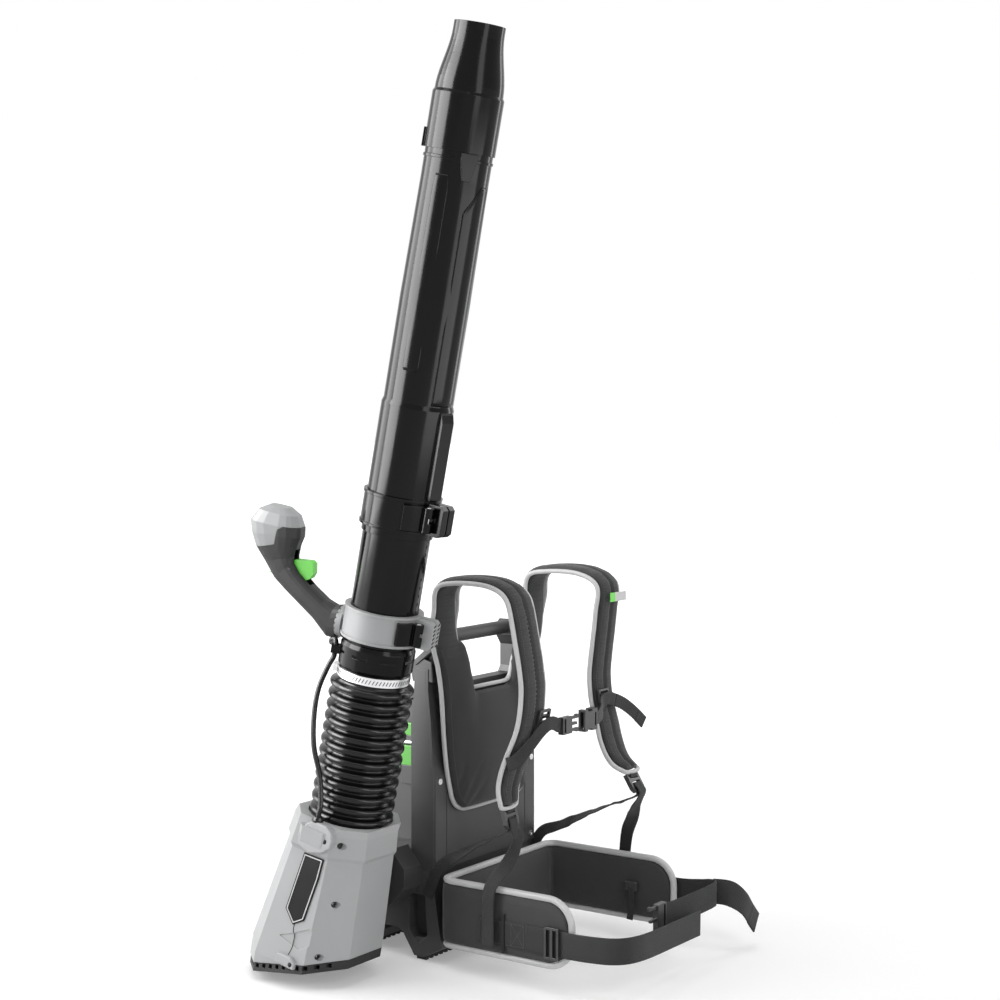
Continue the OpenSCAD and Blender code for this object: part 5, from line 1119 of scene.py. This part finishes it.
def addRelease(r):
    piece = nodes["battery_release"]
    spots = [piece.matrix_world @ Vector(c) for c in piece.bound_box]
    (x0, _), (y0, y1), (z0, z1) = ([min(p[k] for p in spots) * 1000, max(p[k] for p in spots) * 1000] for k in range(3))
    middle, out, inset, stripe = z1 - r["greenTall"], x0 + r["thick"], r["inset"], x0 + r["stripeOut"]
    green, black = ("signalGreen", "signal_green", 1.2), ("frameNylon", "frame_plastic", 0.8)
    for name, flat, (low, high), body, (finish, slotName, bevel) in (
            ("releaseGreen", (x0, out, y0, y1), (middle, z1), "battery_release", green),
            ("releaseFoot", (x0 + inset, out, y0 + inset, y1 - inset), (z0, middle), "battery_release", black),
            ("packStripe", (x0 + 1.5, stripe, y0 - 2, y1 + 4), [z1 + z for z in r["stripe"]], "battery", green),
            ("packStripeFoot", (x0 + 2, stripe, y0 - 2, y1 + 4), [z1 + z for z in r["stripeFoot"]], "battery", black)):
        made = plate(name, rectangle(*flat), low, high, asIs, finish, body, slotName, bevel)
        if name == "releaseGreen":
            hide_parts("battery_release")
    line = [asIs(x0 - 0.6, y, z1 + r["pinUp"]) for y in (y0 - 4, y1 + 4)]
    tubeLine("releasePin", line, r["pin"], "zincSteel", "battery", "bright_steel")

addRelease(latch)

# Tube rest at the top of the frame's cheek
rest = {"x": (-132, -116), "arm": [(44, 449), (36, 444), (6, 467), (-2, 480), (4, 484), (14, 473)],
        "body": [(6, 420), (44, 420), (47, 438), (40, 452), (26, 456), (8, 450)], "ring": (29, 440), "ringR": (5.4, 9),
        "ringThick": 1.8}

def acrossPack(y, z, x):
    return atPack(x, y, z)

def addRest(r):
    x0, x1 = r["x"]
    plate("tubeRestArm", r["arm"], x0, x1, acrossPack, "frameNylon", "backpack", "frame_plastic", 1.2)
    plate("tubeRestBody", r["body"], x0 + 2, x1, acrossPack, "buckleNylon", "backpack", "frame_plastic", 1.2)
    (y, z), (wide, tall) = r["ring"], r["ringR"]
    ring = [acrossPack(y + wide * c, z + tall * s, x0 - 1) for c, s in (compass(22.5 * k) for k in range(17))]
    tubeLine("tubeRestRing", eased(ring, 2), r["ringThick"], "frameNylon", "backpack", "frame_plastic")

addRest(rest)

# Folded tag on the left strap, half green and half pale
tag = {"y": (-161.6, -160.6), "z": (530.5, 544.5), "halves": {"strapTagGreen": (99, 113, "signalGreen"),
                                                              "strapTagPale": (112.9, 145, "tagWhite")}}

for name, (x0, x1, finish) in tag["halves"].items():
    plate(name, rectangle(x0, x1, *tag["y"]), *tag["z"], atPack, finish, "backpack", "pad_fabric", 0.2)

# Slider on the far wing's inner face with its hanging strap
farSlider = {"x": 128, "y": -184, "z": 90, "half": (11, 7), "strap": (0.011, 0.0014),
             "fall": [(-4.4, -1, -2), (-5.5, -1, -20), (-4.8, -1, -38), (-6.5, 0, -52)]}

def addFarSlider(f):
    x, y, z = f["x"], f["y"], f["z"]
    wide, tall = f["half"]
    plate("wingSlider", rectangle(y - wide, y + wide, z - tall, z + tall), x - 5, x + 1, acrossPack, "buckleNylon",
          "backpack", "webbing", 1.5)
    line = evenly(eased([atPack(x + a, y + b, z + c) for a, b, c in f["fall"]], 6), 0.003)
    section = webSection(*f["strap"])(0)
    strap = sweepPiece("wingSliderStrap", line, [Vector((0, 1, 0))] * len(line), section, "webbingCloth")
    placed(strap, "backpack", "webbing")

addFarSlider(farSlider)
print("backpack trimmed")

# Studio: lamps have their place in (right, ahead, up) of the view, size and radiance
studio = {
    "floorColour": 0.80, "backdrop": 1.0, "fill": 0.36, "floorGlow": (0.26, 1.0), "glowReach": (0.9, 2.6),
    "middle": (-0.05, 0.0, 0.55), "floor": 30, "lamps": {
        "leftWall": {"at": (-2.3, 0.1, 1.0), "size": (3.0, 2.6), "radiance": 2.6},
        "leftBand": {"at": (-2.0, -0.75, 1.45), "size": (1.5, 2.0), "radiance": 22.0, "glossOnly": True},
        "leftBackBand": {"at": (-2.1, 0.55, 1.45), "size": (1.1, 2.0), "radiance": 6.0, "glossOnly": True},
        "frontBand": {"at": (1.75, -1.35, 0.30), "size": (1.9, 1.0), "radiance": 5.5, "glossOnly": True},
        "frontSoftbox": {"at": (1.5, -2.5, 1.6), "size": (0.9, 1.8), "radiance": 5.0},
        "rightStrip": {"at": (2.0, 1.2, 1.2), "size": (0.4, 2.2), "radiance": 5.0},
        "topSoftbox": {"at": (-0.2, -0.3, 2.7), "size": (2.0, 1.2), "radiance": 3.2}}}

def seenDirectly(tree):     # 1 on rays from the camera, or by gloss or transmission
    path = addNode(tree, "ShaderNodeLightPath").outputs
    sharp = calc(tree, "MAXIMUM", path["Is Camera Ray"], path["Is Glossy Ray"])
    return calc(tree, "MAXIMUM", sharp, path["Is Transmission Ray"])

def addWorld(s):
    world = bpy.data.worlds.new("studioWorld")
    bpy.context.scene.world = world
    world.use_nodes = True
    tree = world.node_tree
    strength = mapRange(tree, seenDirectly(tree), 0.0, 1.0, s["fill"], s["backdrop"])
    feed(tree, tree.nodes["Background"], {"Strength": strength, "Color": (1, 1, 1, 1)})

def addLamp(name, lamp, middle):
    data = bpy.data.lights.new(name, "AREA")
    data.shape, (data.size, data.size_y) = "RECTANGLE", lamp["size"]
    data.energy = lamp["radiance"] * math.pi * data.size * data.size_y
    right, ahead, up = lamp["at"]
    flatAhead = Vector((aheadWay.x, aheadWay.y, 0)).normalized()
    place = middle + rightWay * right + flatAhead * ahead + Vector((0, 0, up - middle.z))
    made = linked(name, data)
    made.visible_camera = False
    made.visible_diffuse = not lamp.get("glossOnly", False)
    made.matrix_world = Matrix.Translation(place) @ (middle - place).to_track_quat("-Z", "Y").to_matrix().to_4x4()

def addFloor(s):        # white where it is seen, and brighter far from the object
    mesh = bpy.data.meshes.new("studioFloor")
    far = s["floor"]
    mesh.from_pydata([(x, y, 0) for x, y in rectangle(-far, far, -far, far)], [], [(0, 1, 2, 3)])
    floor = linked("studioFloor", mesh)
    paper, tree, shader = startMaterial("studioPaper")
    feed(tree, shader, {"Base Color": (s["floorColour"],) * 3 + (1,), "Roughness": 0.9, "Specular IOR Level": 0.1})
    away = addNode(tree, "ShaderNodeVectorMath", {"operation": "LENGTH"}, i0=objectPlace(tree)).outputs["Value"]
    lit = calc(tree, "MULTIPLY", seenDirectly(tree), mapRange(tree, away, *s["glowReach"], *s["floorGlow"]))
    glow = addNode(tree, "ShaderNodeEmission", None, Color=(1, 1, 1, 1), Strength=lit)
    both = addNode(tree, "ShaderNodeAddShader", None, i0=shader.outputs[0], i1=glow.outputs[0])
    feed(tree, tree.nodes["Material Output"], {"Surface": both.outputs[0]})
    mesh.materials.append(paper)

bpy.context.scene.view_settings.view_transform = "Standard"
addWorld(studio)
for name, lamp in studio["lamps"].items():
    addLamp(name, lamp, Vector(studio["middle"]))
addFloor(studio)
print("studio lit")
